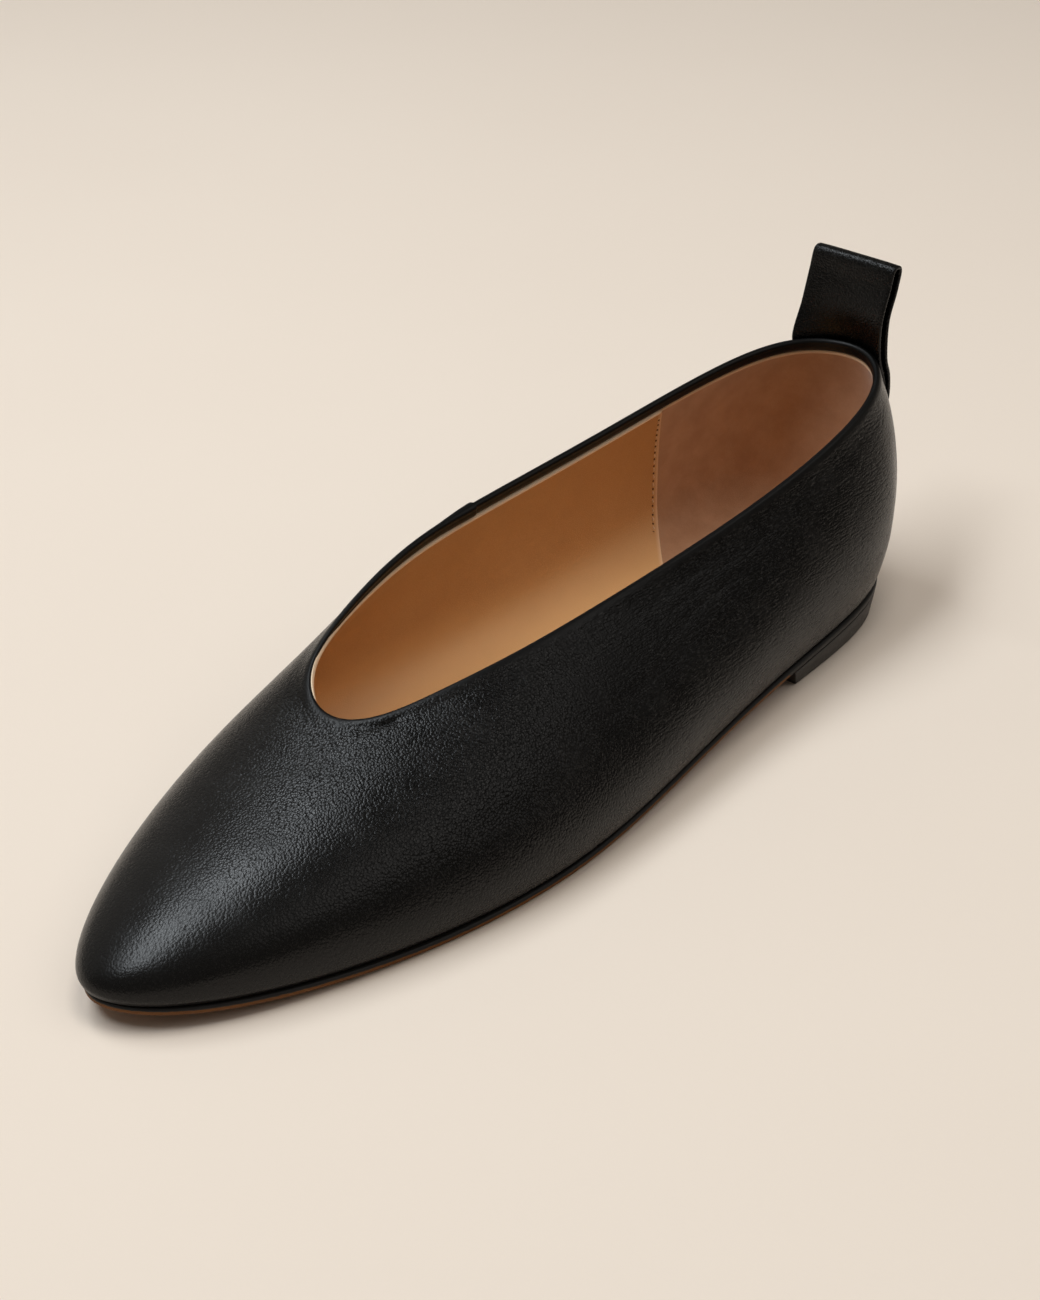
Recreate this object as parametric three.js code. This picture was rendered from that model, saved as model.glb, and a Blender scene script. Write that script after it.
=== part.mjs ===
// A soft leather ballet flat for the left foot: almond toe, high U-shaped throat, thin sole,
// low stacked heel and a pull tab at the back. Millimetres, +Z up, the toe points to -Y and the
// outer side of the foot lies at +X. The shoe stands on the plane z = 0.
import * as THREE from 'three';
import { mergeVertices } from 'three/addons/utils/BufferGeometryUtils.js';

// Driving sizes of the last.
const LENGTH = 250; // feather line, heel to toe
const BALL_WIDTH = 78; // feather line, across the joints
const INSTEP_HEIGHT = 33.8; // topline above the floor at the throat
const COLLAR_HEIGHT = 60.8; // topline above the floor at the heel
const HEEL_RISE = 7.6; // underside of the sole above the floor at the back
const TOE_SPRING = 4.7; // underside of the sole above the floor at the tip
const TREAD_BACK = 0.62; // share of the length where the sole comes down to the floor
const TREAD_FRONT = 0.72; // share of the length where it starts to lift again
const SPRING_POWER = 1.8; // how late the toe lifts

// Leather and board.
const WALL = 1.8;
const SOLE_THICKNESS = 1.9;
const INSOLE_THICKNESS = 2.4;
const INSOLE_INSET = 2.45; // from the feather line, clear of the wall
const GAP = 0.3; // between pieces that lie against each other
const SEAM_RAISE = 0.6; // the front panel lies over the inner quarter
const SEAM_FADE = 0.45; // in sections, where the raised edge has sunk back into the wall

// Heel block and pull tab.
const BREAST_TOP = 61.5; // from the back, at the underside of the sole
const BREAST_FOOT = 59;
const HEEL_TAPER = 1.1;
const TAB = {
  width: 23,
  leather: 1.2,
  clear: 0.65, // off the heel
  room: 2.2, // between the two layers under the fold
  top: 83.5,
  foldAlong: -1.8,
  lean: 0.14,
  cup: 3.4, // its edges stand this far forward of its middle where it leaves the heel
  hug: 0.94, // share of its width where it wraps the heel
  outerEnd: 44,
  innerEnd: 51,
  leaves: 59, // height at which it comes off the heel
  ramp: 0.6, // share of the way between the two ends where the outer layer starts to climb
  settle: 3, // above the inner end, where the outer layer lies flat on the inner one
  ease: 0.1, // extra lift where a layer comes off the heel
  necks: [12, 4], // below the fold, where the layers run side by side
  back: [0.8, 1], // how far the outer layer stands back there, in radii of the fold
  front: [1.1, 1], // how far the inner layer stands forward there
};

// Fineness of the meshes.
const SECTION_STEPS = 5;
const OUTER_ROWS = 12;
const INNER_ROWS = 8;
const RIM_STEPS = 4;
const ACROSS = 6;
const SOLE_RUNGS = 42;
const INSOLE_RUNGS = 32;
const HEEL_RUNGS = 16;
const TAB_LINES = 6;
const TAB_STEPS = 36;
const PASSES = 40; // of every search by halves and of the spline's solution
const NORMAL_STEP = 0.01; // in u and v
const EDGE_STEP = 0.02; // in u
const WELD = 1e-4; // corners nearer than this are one

// Sections round the shoe, from the middle of the heel along the outer side to the toe and back
// along the inner side. Along is a share of the length from the heel and out a share of half the
// ball width, at the feather line (foot) and at the topline (top). High runs from 0 at the instep
// height to 1 at the collar height. The wall bulges over both ends in the plan direction of the
// two turns, in degrees from straight out: lowOut and lowUp at the feather line, highOut and
// highDown at the topline, in millimetres.
const SECTION_COLUMNS = [
  ...['footAlong', 'footOut', 'topAlong', 'topOut', 'high'],
  ...['lowTurn', 'lowOut', 'lowUp'],
  ...['highTurn', 'highOut', 'highDown'],
];
const SECTIONS = table(
  SECTION_COLUMNS,
  [
    [0.01, 0.0, 0.003, 0.02, 1.0, -90, 7.0, 20.0, -90, 7.9, 16.6], // heel, middle of the back
    [0.035, 0.46, 0.018, 0.32, 0.96, -52, 6.4, 19.8, -52, 6.9, 16.6], // heel corner, outer side
    [0.11, 0.75, 0.084, 0.53, 0.82, -15, 5.8, 18.2, -15, 6.6, 15.4], // heel side
    [0.25, 0.83, 0.207, 0.56, 0.58, 0, 6.7, 16.2, 0, 6.7, 13.7], // quarter
    [0.4, 0.905, 0.336, 0.5, 0.39, 5, 8.3, 14.8, 5, 7.0, 11.8], // waist
    [0.547, 1.0, 0.456, 0.45, 0.3, 10, 8.6, 14.4, 11, 9.5, 9.9], // joint
    [0.684, 0.97, 0.556, 0.39, 0.24, 16, 7.4, 14.5, 20, 14.8, 8.7], // ball
    [0.826, 0.755, 0.63, 0.275, 0.15, 34, 5.2, 13.8, 40, 23.7, 10.4], // toe shoulder
    [0.945, 0.42, 0.683, 0.13, 0.05, 60, 3.4, 12.8, 66, 33.0, 12.4], // toe corner
    [0.995, -0.01, 0.709, -0.05, 0.0, 87, 2.1, 11.2, 90, 37.0, 14.4], // toe tip and middle of the throat
    [0.941, -0.42, 0.708, -0.27, 0.02, 120, 2.3, 11.0, 113, 29.0, 14.2], // toe corner, inner side
    [0.834, -0.76, 0.676, -0.49, 0.13, 147, 3.6, 11.6, 139, 17.5, 14.0], // toe shoulder
    [0.704, -0.94, 0.608, -0.62, 0.32, 165, 5.2, 12.4, 160, 10.0, 13.4], // ball
    [0.561, -0.85, 0.513, -0.7, 0.48, 175, 7.2, 13.0, 174, 7.2, 13.3], // joint
    [0.409, -0.685, 0.396, -0.69, 0.57, 180, 9.3, 13.9, 179, 6.7, 13.5], // waist
    [0.255, -0.67, 0.261, -0.62, 0.69, 181, 8.3, 16.0, 182, 8.2, 14.1], // quarter
    [0.114, -0.69, 0.12, -0.5, 0.87, 195, 7.0, 17.8, 195, 9.0, 15.2], // heel side
    [0.036, -0.45, 0.034, -0.3, 0.975, 231, 7.0, 19.4, 229, 8.6, 16.4], // heel corner
  ],
);
const TOE = 9; // the section at the toe tip
const SEAM = { section: 13.66, bow: 0.17, reach: 1.3 }; // the closing seam on the inner side
const SEAM_CLEAR = 0.08; // no even column this near it, in sections
const SEAM_HALF = 0.012; // its own two columns stand this far to either side
const RIM_FROM = 0.97; // share of the wall's height from which the topline's direction is taken
const HEEL_SEARCH = 1.8; // sections to either side of the heel's middle

// Side of the sole: out from the feather line, and how far down between its two faces.
const SOLE_EDGE = table(
  ['out', 'down'],
  [
    [-0.8, 0],
    [0.1, 0.16],
    [0.4, 0.45],
    [0.2, 0.8],
    [-0.5, 1],
  ],
);
const HEEL_EDGE = table(
  ['out', 'down'],
  [
    [-0.1, 0],
    [0.2, 0.08],
    [0.2 - 0.8 * HEEL_TAPER, 0.9],
    [-0.2 - HEEL_TAPER, 1],
  ],
);
const INSOLE_EDGE = table(
  ['out', 'down'],
  [
    [-0.7, 0],
    [0, 0.3],
    [0, 1],
  ],
);

function table(columns, rows) {
  return rows.map((row) => Object.fromEntries(columns.map((name, i) => [name, row[i]])));
}

const lerp = THREE.MathUtils.lerp;
const smooth = THREE.MathUtils.smoothstep;
const range = (n) => Array.from({ length: n + 1 }, (_, i) => i / n);

// Height of the sole's underside at a distance from the heel: down from the heel to the flat
// tread under the ball, and up again to the toe.
function underside(along) {
  const back = smooth(TREAD_BACK * LENGTH - along, 0, TREAD_BACK * LENGTH);
  const front = Math.max(0, (along / LENGTH - TREAD_FRONT) / (1 - TREAD_FRONT));
  return HEEL_RISE * back + TOE_SPRING * front ** SPRING_POWER;
}

const soleTop = (along) => underside(along) + SOLE_THICKNESS;
const seatTop = (along) => soleTop(along) + GAP;

// A section's four control points: feather line, the two bulges and the topline.
function controls(row) {
  const along = row.footAlong * LENGTH;
  const foot = new THREE.Vector3((row.footOut * BALL_WIDTH) / 2, along, seatTop(along));
  const high = lerp(INSTEP_HEIGHT, COLLAR_HEIGHT, row.high);
  const top = new THREE.Vector3((row.topOut * BALL_WIDTH) / 2, row.topAlong * LENGTH, high);
  const shift = (turn, out, up) => {
    const angle = THREE.MathUtils.degToRad(turn);
    return new THREE.Vector3(out * Math.cos(angle), out * Math.sin(angle), up);
  };
  const low = shift(row.lowTurn, row.lowOut, row.lowUp).add(foot);
  const upper = shift(row.highTurn, row.highOut, -row.highDown).add(top);
  return [foot, low, upper, top];
}

// Control points of the closed cubic B-spline that runs through the given points. Each pass moves
// every control point to where the curve would meet its own point.
function splineThrough(points) {
  const n = points.length;
  let pulls = points.map((p) => p.clone());
  for (let pass = 0; pass < PASSES; pass++)
    pulls = points.map((p, i) =>
      p
        .clone()
        .multiplyScalar(6)
        .sub(pulls[(i + 1) % n])
        .sub(pulls[(i + n - 1) % n])
        .divideScalar(4),
    );
  return pulls;
}

function splineAt(pulls, u) {
  const n = pulls.length;
  const i = Math.floor(u);
  const t = u - i;
  const weights = [(1 - t) ** 3, 3 * t ** 3 - 6 * t ** 2 + 4, -3 * t ** 3 + 3 * t ** 2 + 3 * t + 1, t ** 3];
  const point = new THREE.Vector3();
  weights.forEach((w, k) => point.addScaledVector(pulls[(((i + k - 1) % n) + n) % n], w / 6));
  return point;
}

const RAILS = [0, 1, 2, 3].map((k) => splineThrough(SECTIONS.map((row) => controls(row)[k])));

// Outer face of the last. Section u runs round the shoe and v up the wall, 0 at the feather line
// and 1 at the topline. Y holds the distance from the heel until a piece is finished.
function last(u, v) {
  const bezier = [(1 - v) ** 3, 3 * v * (1 - v) ** 2, 3 * v ** 2 * (1 - v), v ** 3];
  const point = new THREE.Vector3();
  RAILS.forEach((rail, k) => point.addScaledVector(splineAt(rail, u), bezier[k]));
  return point;
}

function lastNormal(u, v) {
  const low = Math.max(0, v - NORMAL_STEP);
  const high = Math.min(1, v + NORMAL_STEP);
  const around = last(u + NORMAL_STEP, v).sub(last(u - NORMAL_STEP, v));
  const upward = last(u, high).sub(last(u, low));
  return around.cross(upward).normalize();
}

// The columns of the wall bend with the closing seam, which bows back at mid height.
function bent(u, v) {
  const near = Math.max(0, 1 - Math.abs(u - SEAM.section) / SEAM.reach);
  return u + SEAM.bow * near * near * Math.sin(Math.PI * v);
}

// How far the front panel's edge stands over the inner quarter at a section.
function panelRaise(u) {
  const before = SEAM.section - u;
  return before < 0 ? 0 : SEAM_RAISE * (1 - smooth(before, 0, SEAM_FADE));
}

// The wall's column at a section: up the outer face, over the rounded topline, down the lining
// side and back under the feather line.
function wallColumn(u) {
  const outer = range(OUTER_ROWS).map((v) => {
    const at = bent(u, v);
    return last(at, v).addScaledVector(lastNormal(at, v), panelRaise(u));
  });
  const normal = lastNormal(u, 1);
  const upward = last(u, 1).sub(last(u, RIM_FROM)).normalize();
  const middle = last(u, 1).addScaledVector(normal, -WALL / 2);
  const rim = range(RIM_STEPS)
    .slice(1, -1)
    .map((t) => {
      const angle = Math.PI * t;
      const point = middle.clone().addScaledVector(normal, (WALL / 2) * Math.cos(angle));
      return point.addScaledVector(upward, (WALL / 2) * Math.sin(angle));
    });
  const inner = range(INNER_ROWS)
    .reverse()
    .map((v) => {
      const at = bent(u, v);
      const inward = lastNormal(at, v);
      if (v === 0) inward.setZ(0).normalize();
      return last(at, v).addScaledVector(inward, -WALL);
    });
  return [...outer, ...rim, ...inner];
}

function wallSections() {
  const count = SECTIONS.length * SECTION_STEPS;
  const even = range(count).slice(0, -1).map((t) => t * SECTIONS.length);
  const clear = even.filter((u) => Math.abs(u - SEAM.section) > SEAM_CLEAR);
  return [...clear, SEAM.section - SEAM_HALF, SEAM.section + SEAM_HALF].sort((a, b) => a - b);
}

// Collects the faces of one closed solid from grids of points.
class Solid {
  constructor() {
    this.corners = [];
  }

  triangle(a, b, c) {
    if (a.distanceTo(b) < WELD || b.distanceTo(c) < WELD || c.distanceTo(a) < WELD) return;
    this.corners.push(a, b, c);
  }

  sheet(rows, turned = false) {
    for (let i = 0; i + 1 < rows.length; i++)
      for (let j = 0; j + 1 < rows[i].length; j++) {
        const [a, b, c, d] = [rows[i][j], rows[i + 1][j], rows[i + 1][j + 1], rows[i][j + 1]];
        if (turned) {
          this.triangle(a, c, b);
          this.triangle(a, d, c);
        } else {
          this.triangle(a, b, c);
          this.triangle(a, c, d);
        }
      }
    return this;
  }

  // The distance from the heel becomes the shoe's own -Y, which mirrors the faces.
  geometry() {
    const placed = this.corners.map((p) => new THREE.Vector3(p.x, LENGTH / 2 - p.y, p.z));
    for (let i = 0; i < placed.length; i += 3)
      [placed[i + 1], placed[i + 2]] = [placed[i + 2], placed[i + 1]];
    return mergeVertices(new THREE.BufferGeometry().setFromPoints(placed), WELD);
  }
}

const closed = (loop) => [...loop, loop[0]];

function upper() {
  const columns = wallSections().map((u) => closed(wallColumn(u)));
  return new Solid().sheet(closed(columns)).geometry();
}

// A point of the feather line moved out in plan, at the height given for its place.
function edgePoint(u, out, height) {
  const along = last(u + EDGE_STEP, 0).sub(last(u - EDGE_STEP, 0)).setZ(0).normalize();
  const point = last(u, 0).addScaledVector(new THREE.Vector3(along.y, -along.x, 0), out);
  return point.setZ(height(point.y));
}

// Sections on both sides at which an edge reaches a distance from the heel.
function reach(distance, out) {
  const find = (from, to) => {
    let [near, far] = [from, to];
    for (let pass = 0; pass < PASSES; pass++) {
      const middle = (near + far) / 2;
      if (edgePoint(middle, out, () => 0).y < distance) near = middle;
      else far = middle;
    }
    return (near + far) / 2;
  };
  return [find(0.2, TOE - 3), find(SECTIONS.length - 0.2, TOE + 3)];
}

// One layer of a plate: rungs from the outer to the inner edge, from the heel to the given ends.
function layer(steps, out, height, ends = [TOE, TOE]) {
  return range(steps).map((t) => {
    const outerSide = edgePoint(lerp(0, ends[0], t), out, height);
    const innerSide = edgePoint(lerp(SECTIONS.length, ends[1], t), out, height);
    return range(ACROSS).map((k) => {
      const point = outerSide.clone().lerp(innerSide, k);
      return point.setZ(height(point.y));
    });
  });
}

function perimeter(grid) {
  const outerSide = grid.map((rung) => rung[0]);
  const innerSide = grid.map((rung) => rung[ACROSS]).reverse();
  return [...outerSide, ...grid[grid.length - 1].slice(1, -1), ...innerSide];
}

// A closed plate from layers, the first on top.
function plate(layers) {
  const solid = new Solid().sheet(layers[0]).sheet(layers[layers.length - 1], true);
  return solid.sheet(layers.map(perimeter)).geometry();
}

function outsole() {
  return plate(
    SOLE_EDGE.map(({ out, down }) =>
      layer(SOLE_RUNGS, out, (along) => lerp(soleTop(along), underside(along), down)),
    ),
  );
}

function insole() {
  return plate(
    INSOLE_EDGE.map(({ out, down }) =>
      layer(INSOLE_RUNGS, out - INSOLE_INSET, (along) => seatTop(along) + lerp(INSOLE_THICKNESS, 0, down)),
    ),
  );
}

function heel() {
  return plate(
    HEEL_EDGE.map(({ out, down }) => {
      const breast = lerp(BREAST_TOP, BREAST_FOOT, down);
      return layer(HEEL_RUNGS, out, (along) => lerp(underside(along) - GAP, 0, down), reach(breast, out));
    }),
  );
}

// The place on the outer face at a height and a distance beside the middle of the heel.
function heelBack(side, height) {
  const sectionAt = (v) => {
    let [low, high] = [-HEEL_SEARCH, HEEL_SEARCH];
    for (let pass = 0; pass < PASSES; pass++) {
      const middle = (low + high) / 2;
      if (last(middle, v).x < side) low = middle;
      else high = middle;
    }
    return (low + high) / 2;
  };
  let [low, high] = [0, 1];
  for (let pass = 0; pass < PASSES; pass++) {
    const middle = (low + high) / 2;
    if (last(sectionAt(middle), middle).z < height) low = middle;
    else high = middle;
  }
  return [sectionAt(low), low];
}

// The middle of the tab's leather on one lengthwise line: from the outer end on the heel up to
// the fold, and down again between the outer layer and the heel. Side is 0 in the middle of the
// tab and 1 at its edge.
function tabLine(side) {
  const under = TAB.clear + TAB.leather / 2;
  const over = under + GAP + TAB.leather;
  const onHeel = (height, lift) => {
    const [u, v] = heelBack((side * TAB.width * TAB.hug) / 2, height);
    return last(u, v).addScaledVector(lastNormal(u, v), lift);
  };
  const lean = new THREE.Vector3(0, -TAB.lean, 1).normalize();
  const forward = new THREE.Vector3(0, 1, TAB.lean).normalize();
  const radius = (TAB.room + TAB.leather) / 2;
  const fold = new THREE.Vector3((side * TAB.width) / 2, TAB.foldAlong, TAB.top - radius - TAB.leather / 2);
  const straightens = TAB.top - TAB.leaves;
  const beside = (down, ahead) => {
    const cup = (TAB.cup * side ** 2 * Math.max(0, down)) / straightens;
    return fold.clone().addScaledVector(lean, -down).addScaledVector(forward, ahead + cup);
  };
  const corner = radius * Math.SQRT1_2;
  const [low, high] = TAB.necks;
  const route = [
    onHeel(TAB.outerEnd, under),
    onHeel(lerp(TAB.outerEnd, TAB.innerEnd, TAB.ramp), lerp(under, over, TAB.ramp)),
    onHeel(TAB.innerEnd + TAB.settle, over),
    onHeel(TAB.leaves, over + TAB.ease),
    beside(low, -radius * TAB.back[0]),
    beside(high, -radius * TAB.back[1]),
    beside(-corner, -corner),
    beside(-corner, corner),
    beside(high, radius * TAB.front[1]),
    beside(low, radius * TAB.front[0]),
    onHeel(TAB.leaves + 1, under + TAB.ease),
    onHeel(TAB.innerEnd + TAB.settle, under),
    onHeel(TAB.innerEnd, under),
  ];
  return new THREE.CatmullRomCurve3(route, false, 'centripetal').getPoints(TAB_STEPS);
}

function pullTab() {
  const lines = range(TAB_LINES).map((t) => tabLine(2 * t - 1));
  const half = TAB.leather / 2;
  const faces = [1, -1].map((way) =>
    lines.map((line, i) =>
      line.map((point, k) => {
        const ahead = line[Math.min(k + 1, line.length - 1)].clone().sub(line[Math.max(k - 1, 0)]);
        const beside = lines[Math.min(i + 1, TAB_LINES)][k].clone().sub(lines[Math.max(i - 1, 0)][k]);
        return point.clone().addScaledVector(beside.cross(ahead).normalize(), way * half);
      }),
    ),
  );
  const rim = (face) => {
    const ends = face.length - 1;
    const start = face.map((line) => line[0]);
    const end = face.map((line) => line[line.length - 1]);
    return [...face[0], ...end.slice(1, -1), ...[...face[ends]].reverse(), ...start.reverse().slice(1)];
  };
  const solid = new Solid().sheet(faces[0]).sheet(faces[1], true);
  return solid.sheet(faces.map(rim), true).geometry();
}

const group = new THREE.Group();

function add(name, geometry, color, roughness) {
  const mesh = new THREE.Mesh(geometry, new THREE.MeshStandardMaterial({ color, roughness, metalness: 0 }));
  mesh.name = name;
  group.add(mesh);
}

add('upper', upper(), 0x1d1a17, 0.42);
add('outsole', outsole(), 0xb07a48, 0.6);
add('insole', insole(), 0xc08a55, 0.6);
add('heel', heel(), 0x1f1c19, 0.5);
add('pull_tab', pullTab(), 0x1d1a17, 0.45);

// The origin is on the floor under the middle of the shoe.
const box = new THREE.Box3().setFromObject(group);
const centre = box.getCenter(new THREE.Vector3());
group.position.set(-centre.x, -centre.y, -box.min.z);

export default group;
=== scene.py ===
"""Looks of a soft black leather ballet flat for the left foot, with a tan lining.

Lengths are millimetres of the shoe itself and become metres where a mesh is made. Three words
recur: along is the distance from the heel, u runs round the shoe from the middle of the heel over
the outer side to the toe (section 9) and back to 18, and v climbs the wall from the feather line
(0) to the topline (1).
"""

import logging
import math
from collections.abc import Callable
from dataclasses import dataclass, field
from enum import Enum
from typing import Any, ClassVar

import bmesh
import bpy
import numpy as np
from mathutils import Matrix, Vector


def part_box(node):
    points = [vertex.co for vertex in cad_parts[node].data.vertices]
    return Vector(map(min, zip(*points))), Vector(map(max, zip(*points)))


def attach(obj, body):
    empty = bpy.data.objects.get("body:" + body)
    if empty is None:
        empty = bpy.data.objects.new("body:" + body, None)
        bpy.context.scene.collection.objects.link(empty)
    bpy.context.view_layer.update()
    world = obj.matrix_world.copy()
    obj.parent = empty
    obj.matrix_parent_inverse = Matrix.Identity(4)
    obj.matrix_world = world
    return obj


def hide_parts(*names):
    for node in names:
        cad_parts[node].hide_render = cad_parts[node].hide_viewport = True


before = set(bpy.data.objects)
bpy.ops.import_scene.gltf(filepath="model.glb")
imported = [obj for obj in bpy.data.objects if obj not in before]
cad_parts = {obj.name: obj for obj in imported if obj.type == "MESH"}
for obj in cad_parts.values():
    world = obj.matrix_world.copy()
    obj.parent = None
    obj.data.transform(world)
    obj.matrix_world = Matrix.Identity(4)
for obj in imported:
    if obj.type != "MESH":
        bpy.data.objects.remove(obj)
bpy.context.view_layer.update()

Array = np.ndarray
Triple = tuple[float, float, float]
Colour = Triple
MM = 0.001
BODY = "root"
HALVINGS = 24
SAMPLES = 400
TOP_STEP = 0.03
log = logging.getLogger("ballet_flat")

# The sections of the last, one row for each, as shares of the length and of half the ball width.
# The wall's two inner control points stand off the feather line (low) and the topline (high) in
# the plan direction of a turn in degrees, by out and up or down in millimetres.
COLUMNS = (
    *("foot_along", "foot_out", "top_along", "top_out", "high"),
    *("low_turn", "low_out", "low_up"),
    *("high_turn", "high_out", "high_down"),
)
SECTIONS = (
    (0.01, 0.0, 0.003, 0.02, 1.0, -90, 7.0, 20.0, -90, 7.9, 16.6),  # middle of the heel
    (0.035, 0.46, 0.018, 0.32, 0.96, -52, 6.4, 19.8, -52, 6.9, 16.6),  # heel corner, outer side
    (0.11, 0.75, 0.084, 0.53, 0.82, -15, 5.8, 18.2, -15, 6.6, 15.4),  # heel side
    (0.25, 0.83, 0.207, 0.56, 0.58, 0, 6.7, 16.2, 0, 6.7, 13.7),  # quarter
    (0.4, 0.905, 0.336, 0.5, 0.39, 5, 8.3, 14.8, 5, 7.0, 11.8),  # waist
    (0.547, 1.0, 0.456, 0.45, 0.3, 10, 8.6, 14.4, 11, 9.5, 9.9),  # joint
    (0.684, 0.97, 0.556, 0.39, 0.24, 16, 7.4, 14.5, 20, 14.8, 8.7),  # ball
    (0.826, 0.755, 0.63, 0.275, 0.15, 34, 5.2, 13.8, 40, 23.7, 10.4),  # toe shoulder
    (0.945, 0.42, 0.683, 0.13, 0.05, 60, 3.4, 12.8, 66, 33.0, 12.4),  # toe corner
    (0.995, -0.01, 0.709, -0.05, 0.0, 87, 2.1, 11.2, 90, 37.0, 14.4),  # toe tip, throat
    (0.941, -0.42, 0.708, -0.27, 0.02, 120, 2.3, 11.0, 113, 29.0, 14.2),  # toe corner, inner side
    (0.834, -0.76, 0.676, -0.49, 0.13, 147, 3.6, 11.6, 139, 17.5, 14.0),  # toe shoulder
    (0.704, -0.94, 0.608, -0.62, 0.32, 165, 5.2, 12.4, 160, 10.0, 13.4),  # ball
    (0.561, -0.85, 0.513, -0.7, 0.48, 175, 7.2, 13.0, 174, 7.2, 13.3),  # joint
    (0.409, -0.685, 0.396, -0.69, 0.57, 180, 9.3, 13.9, 179, 6.7, 13.5),  # waist
    (0.255, -0.67, 0.261, -0.62, 0.69, 181, 8.3, 16.0, 182, 8.2, 14.1),  # quarter
    (0.114, -0.69, 0.12, -0.5, 0.87, 195, 7.0, 17.8, 195, 9.0, 15.2),  # heel side
    (0.036, -0.45, 0.034, -0.3, 0.975, 231, 7.0, 19.4, 229, 8.6, 16.4),  # heel corner
)
ROUND = len(SECTIONS)


def unit(vectors: Array) -> Array:
    """Vectors divided by their own lengths."""
    return vectors / np.maximum(np.linalg.norm(vectors, axis=-1, keepdims=True), 1e-12)


def smooth(values: Array, low: float | Array, high: float | Array) -> Array:
    """Smooth step: 3t^2 - 2t^3, with t the place of each value between low and high, kept in 0 to 1."""
    t = np.clip((np.asarray(values, float) - low) / (high - low), 0, 1)
    return t * t * (3 - 2 * t)


def bell(values: Array, middle: float, reach: float) -> Array:
    """Bell curve: exp(-((value - middle) / reach)^2)."""
    return np.exp(-(((np.asarray(values, float) - middle) / reach) ** 2))


def walked(points: Array) -> Array:
    """Distance of each point of a grid along its own row, from the row's first point."""
    steps = np.linalg.norm(np.diff(points, axis=1), axis=-1)
    return np.concatenate([np.zeros((len(points), 1)), np.cumsum(steps, 1)], 1)


def bisected(under: Callable[[Array], Array], low: Array, high: Array) -> tuple[Array, Array]:
    """Bounds between which a test turns from true to false, halved again and again.

    Args:
        under: the test, for an array of values.
        low: values for which it is true.
        high: values for which it is false.

    Returns:
        The two close bounds.
    """
    for _ in range(HALVINGS):
        middle = (low + high) / 2
        true = under(middle)
        low, high = np.where(true, middle, low), np.where(true, high, middle)
    return low, high


def reached(targets: Array, rows: Array, u: Array) -> Array:
    """Section u at which each row of numbers reaches its own target."""
    return np.array([np.interp(target, row, u) for target, row in zip(targets, rows)])


def sampled(where: Array, along: Array, line: Array) -> Array:
    """Points of a line at distances along it, straight between its own."""
    return np.stack([np.interp(where, along, line[:, k]) for k in range(3)], -1)


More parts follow.
